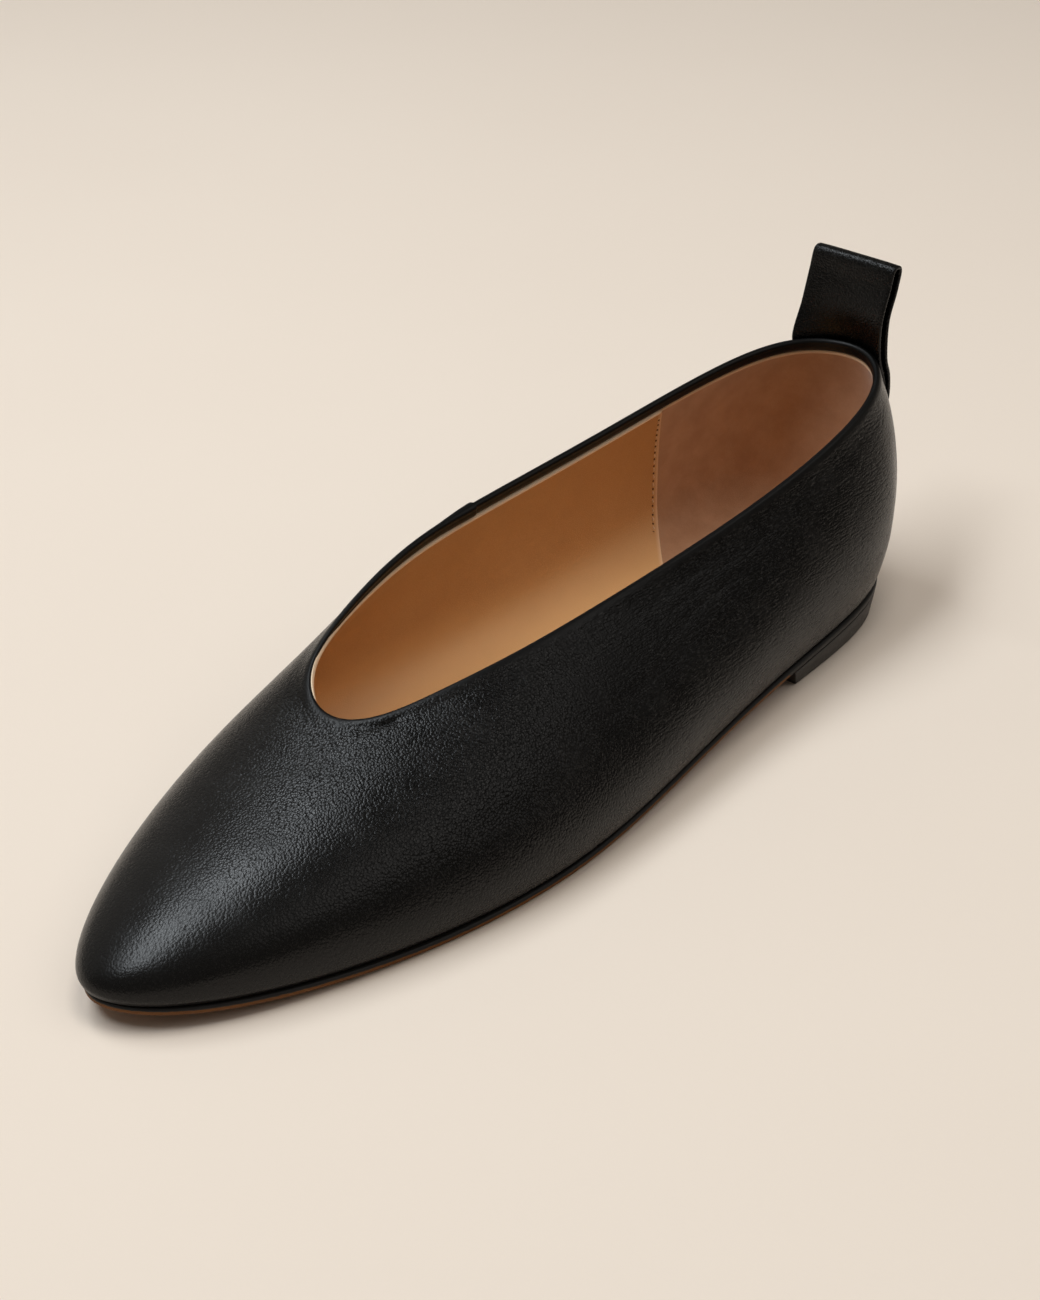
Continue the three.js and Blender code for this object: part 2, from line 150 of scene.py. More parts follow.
@dataclass
class Last:
    """The form that the shoe is lasted on, and the floor plan of its sole."""

    length: float = 250.0
    ball_width: float = 78.0
    instep_height: float = 33.8
    collar_height: float = 60.8
    heel_rise: float = 7.6
    toe_spring: float = 4.7
    sole: float = 1.9
    gap: float = 0.3
    wall: float = 1.8
    toe: float = 9.0
    tread: tuple[float, float] = (0.62, 0.72)
    spring_power: float = 1.8
    band_width: float = 2.3
    band_loss: float = 2.1
    band_throat: tuple[float, float] = (10.3, 1.7)
    paring: tuple[float, float] = (10.9, 1.5)
    place: Array = field(default_factory=lambda: np.zeros(3))
    pulls: Array = field(init=False)

    def __post_init__(self) -> None:
        """Solves the four rails of the wall once."""
        self.pulls = self.through(self.controls())

    def underside(self, along: Array) -> Array:
        """Height of the sole's underside.

        A smooth step falls from the heel rise to the flat tread, and past it a power of the
        distance lifts the toe.

        Args:
            along: distances from the heel.

        Returns:
            The heights, of the same shape.
        """
        back, ahead = (share * self.length for share in self.tread)
        front = np.maximum(0, (along - ahead) / (self.length - ahead))
        spring = self.toe_spring * front**self.spring_power
        return self.heel_rise * smooth(back - along, 0, back) + spring

    def seat(self, along: Array) -> Array:
        """Height at which the wall stands on the sole."""
        return self.underside(along) + self.sole + self.gap

    def controls(self) -> Array:
        """Control points of every section.

        Returns:
            An array of 4 rails by 18 sections by 3: feather line, the two bulges and topline.
        """
        row = {name: column for name, column in zip(COLUMNS, np.array(SECTIONS, float).T)}
        half = self.ball_width / 2
        along = row["foot_along"] * self.length
        foot = np.stack([row["foot_out"] * half, along, self.seat(along)], -1)
        rise = self.instep_height + (self.collar_height - self.instep_height) * row["high"]
        top = np.stack([row["top_out"] * half, row["top_along"] * self.length, rise], -1)
        bulges = []
        for base, name, way in ((foot, "low", "up"), (top, "high", "down")):
            turn = np.radians(row[f"{name}_turn"])
            out = row[f"{name}_out"]
            lift = row[f"{name}_{way}"] * (1 if way == "up" else -1)
            bulges.append(base + np.stack([out * np.cos(turn), out * np.sin(turn), lift], -1))
        return np.stack([foot, *bulges, top])

    @staticmethod
    def through(points: Array) -> Array:
        """Pulls of the closed cubic B-spline through points: (before + 4 own + after) / 6 = point.

        Args:
            points: rails by sections by 3.

        Returns:
            The control points, of the same shape.
        """
        ones = np.eye(ROUND)
        matrix = (4 * ones + np.roll(ones, 1, 0) + np.roll(ones, -1, 0)) / 6
        return np.stack([np.linalg.solve(matrix, rail) for rail in points])

    def surface(self, u: Array, v: Array) -> Array:
        """Points of the outer face: a cubic Bezier in v between four B-splines in u.

        Args:
            u: sections, which wrap at 18.
            v: shares of the wall's height.

        Returns:
            Points (across, along, height) of the broadcast shape by 3.
        """
        u, v = np.broadcast_arrays(np.asarray(u, float), np.asarray(v, float))
        cell = np.floor(u)
        t = u - cell
        blend = np.stack([(1 - t) ** 3, 3 * t**3 - 6 * t**2 + 4, 3 * (t + t**2 - t**3) + 1, t**3]) / 6
        steps = np.arange(-1, 3).reshape((4,) + (1,) * u.ndim)
        near = (cell[None] + steps).astype(int) % ROUND
        rails = np.einsum("k...,rk...c->r...c", blend, self.pulls[:, near])
        bezier = np.stack([(1 - v) ** 3, 3 * v * (1 - v) ** 2, 3 * v**2 * (1 - v), v**3])
        return np.einsum("r...,r...c->...c", bezier, rails)

    def normal(self, u: Array, v: Array) -> Array:
        """Outward normals: the step round the shoe crossed with the step up the wall.

        Args:
            u: sections.
            v: shares of the wall's height.

        Returns:
            Unit vectors of the broadcast shape by 3.
        """
        step = 0.01
        low = np.clip(np.asarray(v, float) - step, 0, 1)
        high = np.clip(np.asarray(v, float) + step, 0, 1)
        around = self.surface(np.add(u, step), v) - self.surface(np.subtract(u, step), v)
        return unit(np.cross(around, self.surface(u, high) - self.surface(u, low)))

    def band(self, u: Array) -> Array:
        """Width of the black band inside the topline: narrow at the throat, by a bell curve."""
        return self.band_width - self.band_loss * bell(u, *self.band_throat)

    def pared(self, u: Array) -> Array:
        """Share by which the folded rim is thinned beside the throat's inner side, a bell curve."""
        return bell(u, *self.paring)

    def folded(self, u: Array) -> Array:
        """Width of the leather's rim: the wall's, and half of it where it is pared."""
        return self.wall * (1 - 0.5 * self.pared(u))

    def rise(self, u: Array) -> Array:
        """The wall's last step up to the topline."""
        return self.surface(u, 1.0) - self.surface(u, 1 - TOP_STEP)

    def below(self, u: Array, drop: Array) -> Array:
        """Share v at a drop in millimetres under the topline, from the slope of the wall there."""
        return 1 - drop / (np.linalg.norm(self.rise(u), axis=-1) / TOP_STEP)

    def section_at(self, along: Array, v: Array, near: float, far: float) -> Array:
        """Sections of an upright seam cut straight in the flat lining.

        Where the wall bulges out from under the topline, the seam falls back towards the heel by
        as much.

        Args:
            along: the seam's distance from the heel for each row, before it falls back.
            v: shares of the wall's height, one row each.
            near: section on the heel's side.
            far: section on the toe's side.

        Returns:
            One section for each v, read off the row's samples.
        """
        u = np.linspace(near, far, SAMPLES // 2)
        rows = self.surface(u[None, :], np.append(np.asarray(v, float), 1.0)[:, None])
        top = rows[-1]
        along = np.broadcast_to(along, np.shape(v))
        overhang = abs(np.interp(along[0], top[:, 1], top[:, 0]))
        places = rows[..., 1] + abs(rows[..., 0]) - overhang
        return reached(along, places, u)

    def edge(self, u: Array, out: Array) -> Array:
        """Feather line moved out square to itself in plan, with its height left at zero.

        Args:
            u: sections.
            out: how far out, in millimetres.

        Returns:
            Points of the broadcast shape by 3.
        """
        u, out = np.broadcast_arrays(np.asarray(u, float), np.asarray(out, float))
        step = 0.02
        around = self.surface(u + step, 0.0) - self.surface(u - step, 0.0)
        around[..., 2] = 0
        around = unit(around)
        square = np.stack([around[..., 1], -around[..., 0], np.zeros_like(u)], -1)
        points = self.surface(u, 0.0) + square * out[..., None]
        points[..., 2] = 0
        return points

    def metres(self, points: Array) -> Array:
        """Shoe points in the scene's metres: along becomes -Y from the middle, then the placement."""
        turned = np.stack([points[..., 0], self.length / 2 - points[..., 1], points[..., 2]], -1)
        return (turned + self.place) * MM


def placed_last() -> Last:
    """A last whose own sole lies where the frame holds the outsole.

    Returns:
        The last, moved by the difference between the middles of the two boxes.
    """
    last = Last()
    rim = last.metres(last.edge(np.linspace(0, ROUND, SAMPLES), Outsole.widest)) / MM
    low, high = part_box("outsole")
    middle = np.array([low.x + high.x, low.y + high.y]) / 2 / MM
    own = (rim.min(0) + rim.max(0))[:2] / 2
    last.place = np.array([*(middle - own), 0.0])
    return last


class Operation(Enum):
    """What a node does with two numbers or two vectors."""

    ADD = "ADD"
    SUBTRACT = "SUBTRACT"
    MULTIPLY = "MULTIPLY"
    PING_PONG = "PINGPONG"


class CellDistance(Enum):
    """What a pattern of cells measures at a place: how far its middle or its border is."""

    MIDDLE = "F1"
    BORDER = "DISTANCE_TO_EDGE"


class Field:
    """A number that changes over a surface: one socket, with arithmetic that adds Math nodes."""

    def __init__(self, painter: "Painter", socket: bpy.types.NodeSocket) -> None:
        """Wraps a socket of a painter's material."""
        self.painter = painter
        self.socket = socket

    def __add__(self, other: "Field | float") -> "Field":
        """Sum."""
        return self.painter.maths(Operation.ADD, self, other)

    def __sub__(self, other: "Field | float") -> "Field":
        """Difference."""
        return self.painter.maths(Operation.SUBTRACT, self, other)

    def __rsub__(self, other: float) -> "Field":
        """Difference from a number."""
        return self.painter.maths(Operation.SUBTRACT, other, self)

    def __mul__(self, other: "Field | float") -> "Field":
        """Product."""
        return self.painter.maths(Operation.MULTIPLY, self, other)

    __radd__ = __add__
    __rmul__ = __mul__


class Painter:
    """Builds one node material, whose patterns lie in the object's own coordinates."""

    def __init__(self, name: str) -> None:
        """Starts an empty material with its coordinates and its shader.

        Args:
            name: the material's name.
        """
        self.material = bpy.data.materials.new(name)
        self.material.use_nodes = True
        self.tree = self.material.node_tree
        self.tree.nodes.clear()
        self.shader = self.node("BsdfPrincipled")
        output = self.node("OutputMaterial")
        self.tree.links.new(self.shader.outputs["BSDF"], output.inputs["Surface"])
        self.place = self.out(self.node("TexCoord"), "Object")

    def node(
        self,
        kind: str,
        settings: dict[str, Any] | None = None,
        sockets: dict[str | int, Any] | None = None,
    ) -> bpy.types.Node:
        """Adds any node.

        Args:
            kind: its type, without the leading ShaderNode.
            settings: properties, which are set first.
            sockets: values or fields for its inputs, by name or number.

        Returns:
            The node.
        """
        made = self.tree.nodes.new(f"ShaderNode{kind}")
        for name, value in (settings or {}).items():
            setattr(made, name, value)
        for key, value in (sockets or {}).items():
            if isinstance(value, Field):
                self.tree.links.new(value.socket, made.inputs[key])
            else:
                made.inputs[key].default_value = value
        return made

    def out(self, node: bpy.types.Node, name: str | int) -> Field:
        """One output of a node as a field."""
        return Field(self, node.outputs[name])

    def maths(self, operation: Operation, one: Field | float, two: Field | float) -> Field:
        """One Math node on two numbers."""
        return self.out(self.node("Math", {"operation": operation.value}, {0: one, 1: two}), 0)

    def vectors(self, operation: Operation, one: Field, two: Field | tuple[float, ...]) -> Field:
        """One Vector Math node on two vectors."""
        return self.out(self.node("VectorMath", {"operation": operation.value}, {0: one, 1: two}), 0)

    def step(self, value: Field, low: float, high: float, start: float = 0, end: float = 1) -> Field:
        """Smooth step of a number from start to end as it goes from low to high.

        Args:
            value: the number.
            low: where it starts.
            high: where it ends.
            start: the result below low.
            end: the result above high.

        Returns:
            The stepped number.
        """
        span = {"Value": value, "From Min": low, "From Max": high, "To Min": start, "To Max": end}
        return self.out(self.node("MapRange", {"interpolation_type": "SMOOTHSTEP"}, span), "Result")

    def axis(self, name: str) -> Field:
        """One coordinate of the pattern's place."""
        return self.out(self.node("SeparateXYZ", sockets={0: self.place}), name)

    def noise(self, size: float, detail: float = 2, rough: float = 0.5) -> Field:
        """Cloudy noise from 0 to 1.

        Args:
            size: width of its patches in millimetres.
            detail: how many finer layers it has.
            rough: how strong they are.

        Returns:
            The noise.
        """
        sockets = {"Vector": self.place, "Scale": 1 / (size * MM), "Detail": detail, "Roughness": rough}
        return self.out(self.node("TexNoise", sockets=sockets), 0)

    def stirred(self, size: float, reach: float) -> Field:
        """Coordinates pushed about by coloured noise.

        Args:
            size: width of the noise's patches in millimetres.
            reach: how far the push goes in millimetres.

        Returns:
            The new coordinates.
        """
        sockets = {"Vector": self.place, "Scale": 1 / (size * MM), "Detail": 1}
        noise = self.out(self.node("TexNoise", sockets=sockets), 1)
        centred = self.vectors(Operation.SUBTRACT, noise, (0.5, 0.5, 0.5))
        push = self.vectors(Operation.MULTIPLY, centred, (2 * reach * MM,) * 3)
        return self.vectors(Operation.ADD, self.place, push)

    def cells(self, kind: CellDistance, size: float, place: Field) -> Field:
        """Distance to the cell's middle or border, in a pattern whose cells have a size."""
        sockets = {"Vector": place, "Scale": 1 / (size * MM)}
        return self.out(self.node("TexVoronoi", {"feature": kind.value}, sockets), "Distance")

    def pebbles(self, size: float, place: Field, crack: float) -> Field:
        """Leather pebbles: 1 on their tops and 0 in the fine creases between them.

        Args:
            size: width of a pebble in millimetres.
            place: coordinates.
            crack: width of the creases, as a share of a pebble.

        Returns:
            The height.
        """
        return self.step(self.cells(CellDistance.BORDER, size, place), 0, crack)

    def domes(self, size: float, place: Field) -> Field:
        """Rounded pebbles that meet in sharp valleys: 1 - 1.8 d^2, d the distance from a middle.

        Args:
            size: width of a pebble in millimetres.
            place: coordinates.

        Returns:
            The height.
        """
        distance = self.cells(CellDistance.MIDDLE, size, place)
        return 1 - distance * distance * 1.8

    def attribute(self, name: str) -> Field:
        """A number stored on the mesh."""
        return self.out(self.node("Attribute", {"attribute_name": name}), "Fac")

    def mix(self, share: Field, one: Field | Colour, two: Field | Colour) -> Field:
        """Colour between two others.

        Args:
            share: 0 for the first and 1 for the second.
            one: the first colour.
            two: the second colour.

        Returns:
            The mixed colour.
        """
        ends = [value if isinstance(value, Field) else (*value, 1.0) for value in (one, two)]
        return self.out(self.node("Mix", {"data_type": "RGBA"}, {0: share, 6: ends[0], 7: ends[1]}), 2)

    def dyed(self, value: Field, low: float, high: float, one: Colour, two: Colour) -> Field:
        """Colour that goes from the first to the second as a number goes from low to high."""
        return self.mix(self.step(value, low, high), one, two)

    def bump(self, height: Field, depth: float, over: Field | None = None) -> Field:
        """Normals bent by a height.

        Args:
            height: the height from 0 to 1.
            depth: what a height of 1 stands for, in millimetres.
            over: normals that it is laid over.

        Returns:
            The bent normals.
        """
        sockets = {"Height": height, "Distance": depth * MM, "Strength": 1.0}
        if over is not None:
            sockets["Normal"] = over
        return self.out(self.node("Bump", sockets=sockets), "Normal")

    def dress(
        self, colour: Field, roughness: Field, normal: Field, **constants: float
    ) -> bpy.types.Material:
        """Joins what varies to the shader and sets its constants.

        Args:
            colour: base colour.
            roughness: roughness.
            normal: bent normals.
            constants: other sockets, with underscores for spaces.

        Returns:
            The finished material.
        """
        for name, value in (("Base Color", colour), ("Roughness", roughness), ("Normal", normal)):
            self.tree.links.new(value.socket, self.shader.inputs[name])
        for name, value in constants.items():
            self.shader.inputs[name.replace("_", " ")].default_value = value
        return self.material


@dataclass(frozen=True)
class PebbledLeather:
    """Black leather with a fine pebble: flat where it is stretched, and drawn into lines behind.

    The pebbles fade over the toe, turn into fine creases along the shoe behind the joints, and
    are pressed flat on the folded edge, where the mesh's own taut attribute is 1. Their tops are
    painted lighter and their creases darker, as painted highlight and shade.
    """

    name: str = "black pebbled leather"
    # The darker colour fills the creases as painted shade, and the lighter one tops the pebbles as a
    # painted highlight.
    deep: Colour = (0.0012, 0.0011, 0.001)
    wear_and_highlight: Colour = (0.02, 0.019, 0.0181)
    pebble: float = 0.56
    depth: float = 0.075
    polish: float = 0.245
    stretched: float = -125.0
    slack: float = -25.0
    drawn: float = -35.0
    long: float = 15.0
    streak: Triple = (1.0, 0.22, 1.0)
    patch: float = 9.0
    swell: float = 5.5
    swell_depth: float = 0.018
    specular: float = 0.21

    def make(self) -> bpy.types.Material:
        """Builds the material."""
        paint = Painter(self.name)
        stirred = paint.stirred(self.pebble * 1.6, self.pebble * 0.35)
        long = paint.step(paint.axis("Y"), self.drawn * MM, self.long * MM)
        round_pebbles = paint.domes(self.pebble, stirred) * (1 - long * 0.7)
        drawn = paint.vectors(Operation.MULTIPLY, stirred, self.streak)
        coarse = round_pebbles + paint.domes(self.pebble * 0.8, drawn) * long * 0.7
        grain = coarse * 0.85 + paint.domes(self.pebble * 0.45, stirred) * 0.15
        taut = paint.attribute("taut")
        ends = (self.stretched * MM, self.slack * MM)
        slack = paint.step(paint.axis("Y"), *ends, 0.3, 1.15) * (1 - taut * 0.85)
        patches = paint.noise(self.patch, 3)
        swell = paint.bump(paint.noise(self.swell, 2) * (1 - taut), self.swell_depth)
        normal = paint.bump(grain * slack * (patches * 0.7 + 0.65), self.depth, swell)
        # Painted highlight and shade: the lighter colour on the pebble tops and the darker one in the
        # creases stand in for light and shade on the grain. Where the grain is stretched flat, a share of
        # the lighter colour is mixed in all over. The folded edge, where taut is 1, stays near the darker
        # colour.
        tops = paint.step(grain + patches * 0.25, 0.74, 1.1)
        colour = paint.mix(tops * slack * 0.87 + (1 - slack) * (1 - taut) * 0.3, self.deep, self.wear_and_highlight)
        polish = (self.polish - 0.03, self.polish + 0.08)
        roughness = paint.step(patches + (1 - coarse) * 0.35, 0.3, 1.1, *polish) + taut * 0.15
        return paint.dress(colour, roughness, normal, Specular_IOR_Level=self.specular)


@dataclass(frozen=True)
class LiningLeather:
    """Tan lining leather, smooth with faint pores and cloudy dye, paler low down as painted light."""

    name: str = "tan lining leather"
    pale: Colour = (0.6, 0.325, 0.13)
    dark: Colour = (0.52, 0.262, 0.094)
    painted_light_low: Colour = (0.78, 0.455, 0.195)
    raw: Colour = (0.95, 0.74, 0.52)
    polish: float = 0.5
    cloud: float = 24.0
    pore: float = 0.5
    relief: float = 0.03
    # Painted light: below these heights, in millimetres, the lining turns to the paler colour, as light
    # falling into the shoe onto the sock.
    painted_light_low_from: float = 13.0
    painted_light_low_to: float = 27.0

    def make(self) -> bpy.types.Material:
        """Builds the material."""
        paint = Painter(self.name)
        clouds = paint.noise(self.cloud, 3, 0.55)
        pores = paint.pebbles(self.pore, paint.stirred(0.9, 0.25), 0.25)
        dyed = paint.dyed(clouds * 0.8 + pores * 0.2, 0.25, 0.8, self.dark, self.pale)
        # Painted light: paler towards the bottom of the shoe, by height and clouds.
        height = paint.axis("Z") + clouds * (8 * MM)
        painted_light_low = paint.step(height, self.painted_light_low_from * MM, self.painted_light_low_to * MM, 1, 0)
        colour = paint.mix(paint.attribute("cut"), paint.mix(painted_light_low, dyed, self.painted_light_low), self.raw)
        roughness = paint.step(clouds, 0.2, 0.8, self.polish, self.polish + 0.1)
        normal = paint.bump(pores * 0.6 + paint.noise(3, 2), self.relief)
        return paint.dress(colour, roughness, normal)


@dataclass(frozen=True)
class NappedLeather:
    """Browner grip leather with a short nap."""

    name: str = "tan heel grip"
    pale: Colour = (0.54, 0.31, 0.18)
    dark: Colour = (0.42, 0.225, 0.12)
    raw: Colour = (0.74, 0.52, 0.33)
    stroke: float = 7.0
    fibre: float = 0.25
    nap: float = 0.08
    sheen: float = 0.25
    sheen_roughness: float = 0.5

    def make(self) -> bpy.types.Material:
        """Builds the material."""
        paint = Painter(self.name)
        strokes = paint.noise(self.stroke, 4, 0.6)
        fibres = paint.noise(self.fibre, 3, 0.7)
        dyed = paint.dyed(strokes * 0.6 + fibres * 0.4, 0.3, 0.72, self.dark, self.pale)
        colour = paint.mix(paint.attribute("cut"), dyed, self.raw)
        roughness = paint.step(fibres, 0.2, 0.8, 0.82, 0.95)
        normal = paint.bump(fibres, self.nap)
        sheen = {"Sheen_Weight": self.sheen, "Sheen_Roughness": self.sheen_roughness}
        return paint.dress(colour, roughness, normal, **sheen)


@dataclass(frozen=True)
class SoleLeather:
    """Tan sole leather whose side is painted black, by the mesh's own painted attribute."""

    name: str = "sole leather"
    tan: Colour = (0.16, 0.06, 0.0115)
    brown: Colour = (0.12, 0.044, 0.0085)
    paint: Colour = (0.013, 0.0122, 0.0115)
    paint_line: tuple[float, float] = (0.6, 0.7)
    fibre: float = 0.5
    cloud: float = 18.0
    relief: float = 0.035
    specular: float = 0.25

    def make(self) -> bpy.types.Material:
        """Builds the material."""
        paint = Painter(self.name)
        covered = paint.attribute("painted") + paint.noise(1.2, 2) * 0.3
        painted = paint.step(covered, *self.paint_line)
        fibres = paint.noise(self.fibre, 3, 0.6)
        clouds = paint.noise(self.cloud, 3, 0.6)
        leather = paint.dyed(clouds * 0.7 + fibres * 0.3, 0.3, 0.7, self.brown, self.tan)
        colour = paint.mix(painted, leather, self.paint)
        roughness = paint.step(painted, 0, 1, 0.62, 0.4) + fibres * 0.08
        normal = paint.bump(fibres * 0.5 + paint.noise(2.5, 2), self.relief)
        return paint.dress(colour, roughness, normal, Specular_IOR_Level=self.specular)


@dataclass(frozen=True)
class HeelStack:
    """Black painted heel block with faint level lines of its stacked leather."""

    name: str = "black heel block"
    deep: Colour = (0.011, 0.0103, 0.0097)
    wear_and_highlight: Colour = (0.024, 0.0222, 0.02)
    lift: float = 2.4
    groove: float = 0.05
    speck: float = 0.6
    relief: float = 0.04

    def make(self) -> bpy.types.Material:
        """Builds the material."""
        paint = Painter(self.name)
        height = paint.axis("Z") * (1 / (self.lift * MM)) + paint.noise(6, 2) * 0.08
        groove = paint.step(paint.maths(Operation.PING_PONG, height, 0.5), 0.0, self.groove)
        speck = paint.noise(self.speck, 3, 0.6)
        colour = paint.dyed(speck, 0.45, 0.75, self.deep, self.wear_and_highlight)
        roughness = paint.step(speck, 0.2, 0.8, 0.42, 0.6)
        return paint.dress(colour, roughness, paint.bump(groove * 0.35 + speck * 0.6, self.relief))


@dataclass(frozen=True)
class Thread:
    """Twisted sewing thread."""

    name: str
    colour: Colour
    shade: Colour
    twist: float = 0.35
    relief: float = 0.06

    def make(self) -> bpy.types.Material:
        """Builds the material."""
        paint = Painter(self.name)
        ply = paint.noise(self.twist, 1)
        colour = paint.dyed(ply, 0.3, 0.7, self.shade, self.colour)
        return paint.dress(colour, paint.step(ply, 0, 1, 0.5, 0.7), paint.bump(ply, self.relief))


@dataclass(frozen=True)
class PaleFloor:
    """Warm, pale, even paper."""

    name: str = "pale floor"
    pale: Colour = (0.80, 0.70, 0.60)
    dark: Colour = (0.775, 0.672, 0.572)
    cloud: float = 160.0
    tooth: float = 0.7
    relief: float = 0.02

    def make(self) -> bpy.types.Material:
        """Builds the material."""
        paint = Painter(self.name)
        tooth = paint.noise(self.tooth, 2)
        colour = paint.mix(paint.noise(self.cloud, 2), self.dark, self.pale)
        return paint.dress(colour, paint.step(tooth, 0, 1, 0.75, 0.9), paint.bump(tooth, self.relief))


def quads(rows: int, columns: int, ring: bool, tube: bool) -> Array:
    """Faces of a grid of points.

    Args:
        rows: loops along the path.
        columns: points of a loop.
        ring: whether the path closes on its start.
        tube: whether each loop closes.

    Returns:
        Corner numbers, four a row.
    """
    i = np.arange(rows if ring else rows - 1)[:, None]
    j = np.arange(columns if tube else columns - 1)[None, :]
    near, far = i * columns, (i + 1) % rows * columns
    left, right = j, (j + 1) % columns
    return np.stack([near + left, near + right, far + right, far + left], -1).reshape(-1, 4)


def added(name: str, data: bpy.types.ID) -> bpy.types.Object:
    """A new object with its data, linked into the scene."""
    made = bpy.data.objects.new(name, data)
    bpy.context.scene.collection.objects.link(made)
    return made


def folded_end(loop: Array) -> Array:
    """A loop pressed flat: each point meets the one as far from the loop's other end."""
    return (loop + loop[::-1]) / 2


@dataclass
class Piece:
    """A finished piece in the making: its points, faces and stored numbers."""

    name: str
    points: Array
    faces: Array
    stored: dict[str, Array] = field(default_factory=dict)
    crease_angle: float = 40.0

    @classmethod
    def lofted(cls, name: str, loops: Array, ring: bool = False, **more: Any) -> "Piece":
        """A piece made of closed loops, which may run round in a ring themselves."""
        return cls(name, loops, quads(*loops.shape[:2], ring=ring, tube=True), **more)

    def build(self, last: Last, material: bpy.types.Material, slot: str, *nodes: str) -> bpy.types.Object:
        """Puts the piece into the scene, facing outwards, and lets it ride on the shoe.

        The signed volume, a sixth of the sum of each corner triple's product, says which way a
        closed shell faces.

        Args:
            last: gives the placement.
            material: its finish.
            slot: the record's slot name; not used.
            nodes: the nodes that it stands for.

        Returns:
            The object.
        """
        points = last.metres(self.points.reshape(-1, 3))
        corners = points[self.faces]
        thirds = np.concatenate([corners[:, [0, 1, 2]], corners[:, [0, 2, 3]]])
        turned = np.einsum("ij,ij->", thirds[:, 0], np.cross(thirds[:, 1], thirds[:, 2])) < 0
        faces = self.faces[:, ::-1] if turned else self.faces
        mesh = bpy.data.meshes.new(self.name)
        mesh.from_pydata(points.tolist(), [], faces.tolist())
        for name, values in self.stored.items():
            numbers = mesh.attributes.new(name, "FLOAT", "POINT").data
            numbers.foreach_set("value", values.ravel().astype(float))
        work = bmesh.new()
        work.from_mesh(mesh)
        bmesh.ops.remove_doubles(work, verts=work.verts, dist=1e-7)
        bmesh.ops.dissolve_degenerate(work, edges=work.edges, dist=1e-8)
        work.to_mesh(mesh)
        work.free()
        mesh.shade_smooth()
        mesh.set_sharp_from_angle(angle=math.radians(self.crease_angle))
        mesh.materials.append(material)
        made = added(self.name, mesh)
        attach(made, BODY)
        if nodes:
            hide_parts(*nodes)
        log.info("%s: %d faces", self.name, len(mesh.polygons))
        return made


@dataclass(frozen=True)
class Crease:
    """A soft trough or ridge in the wall, from one place (u, v) to another."""

    start: tuple[float, float]
    end: tuple[float, float]
    width: float
    depth: float
    bow: float = 0.0


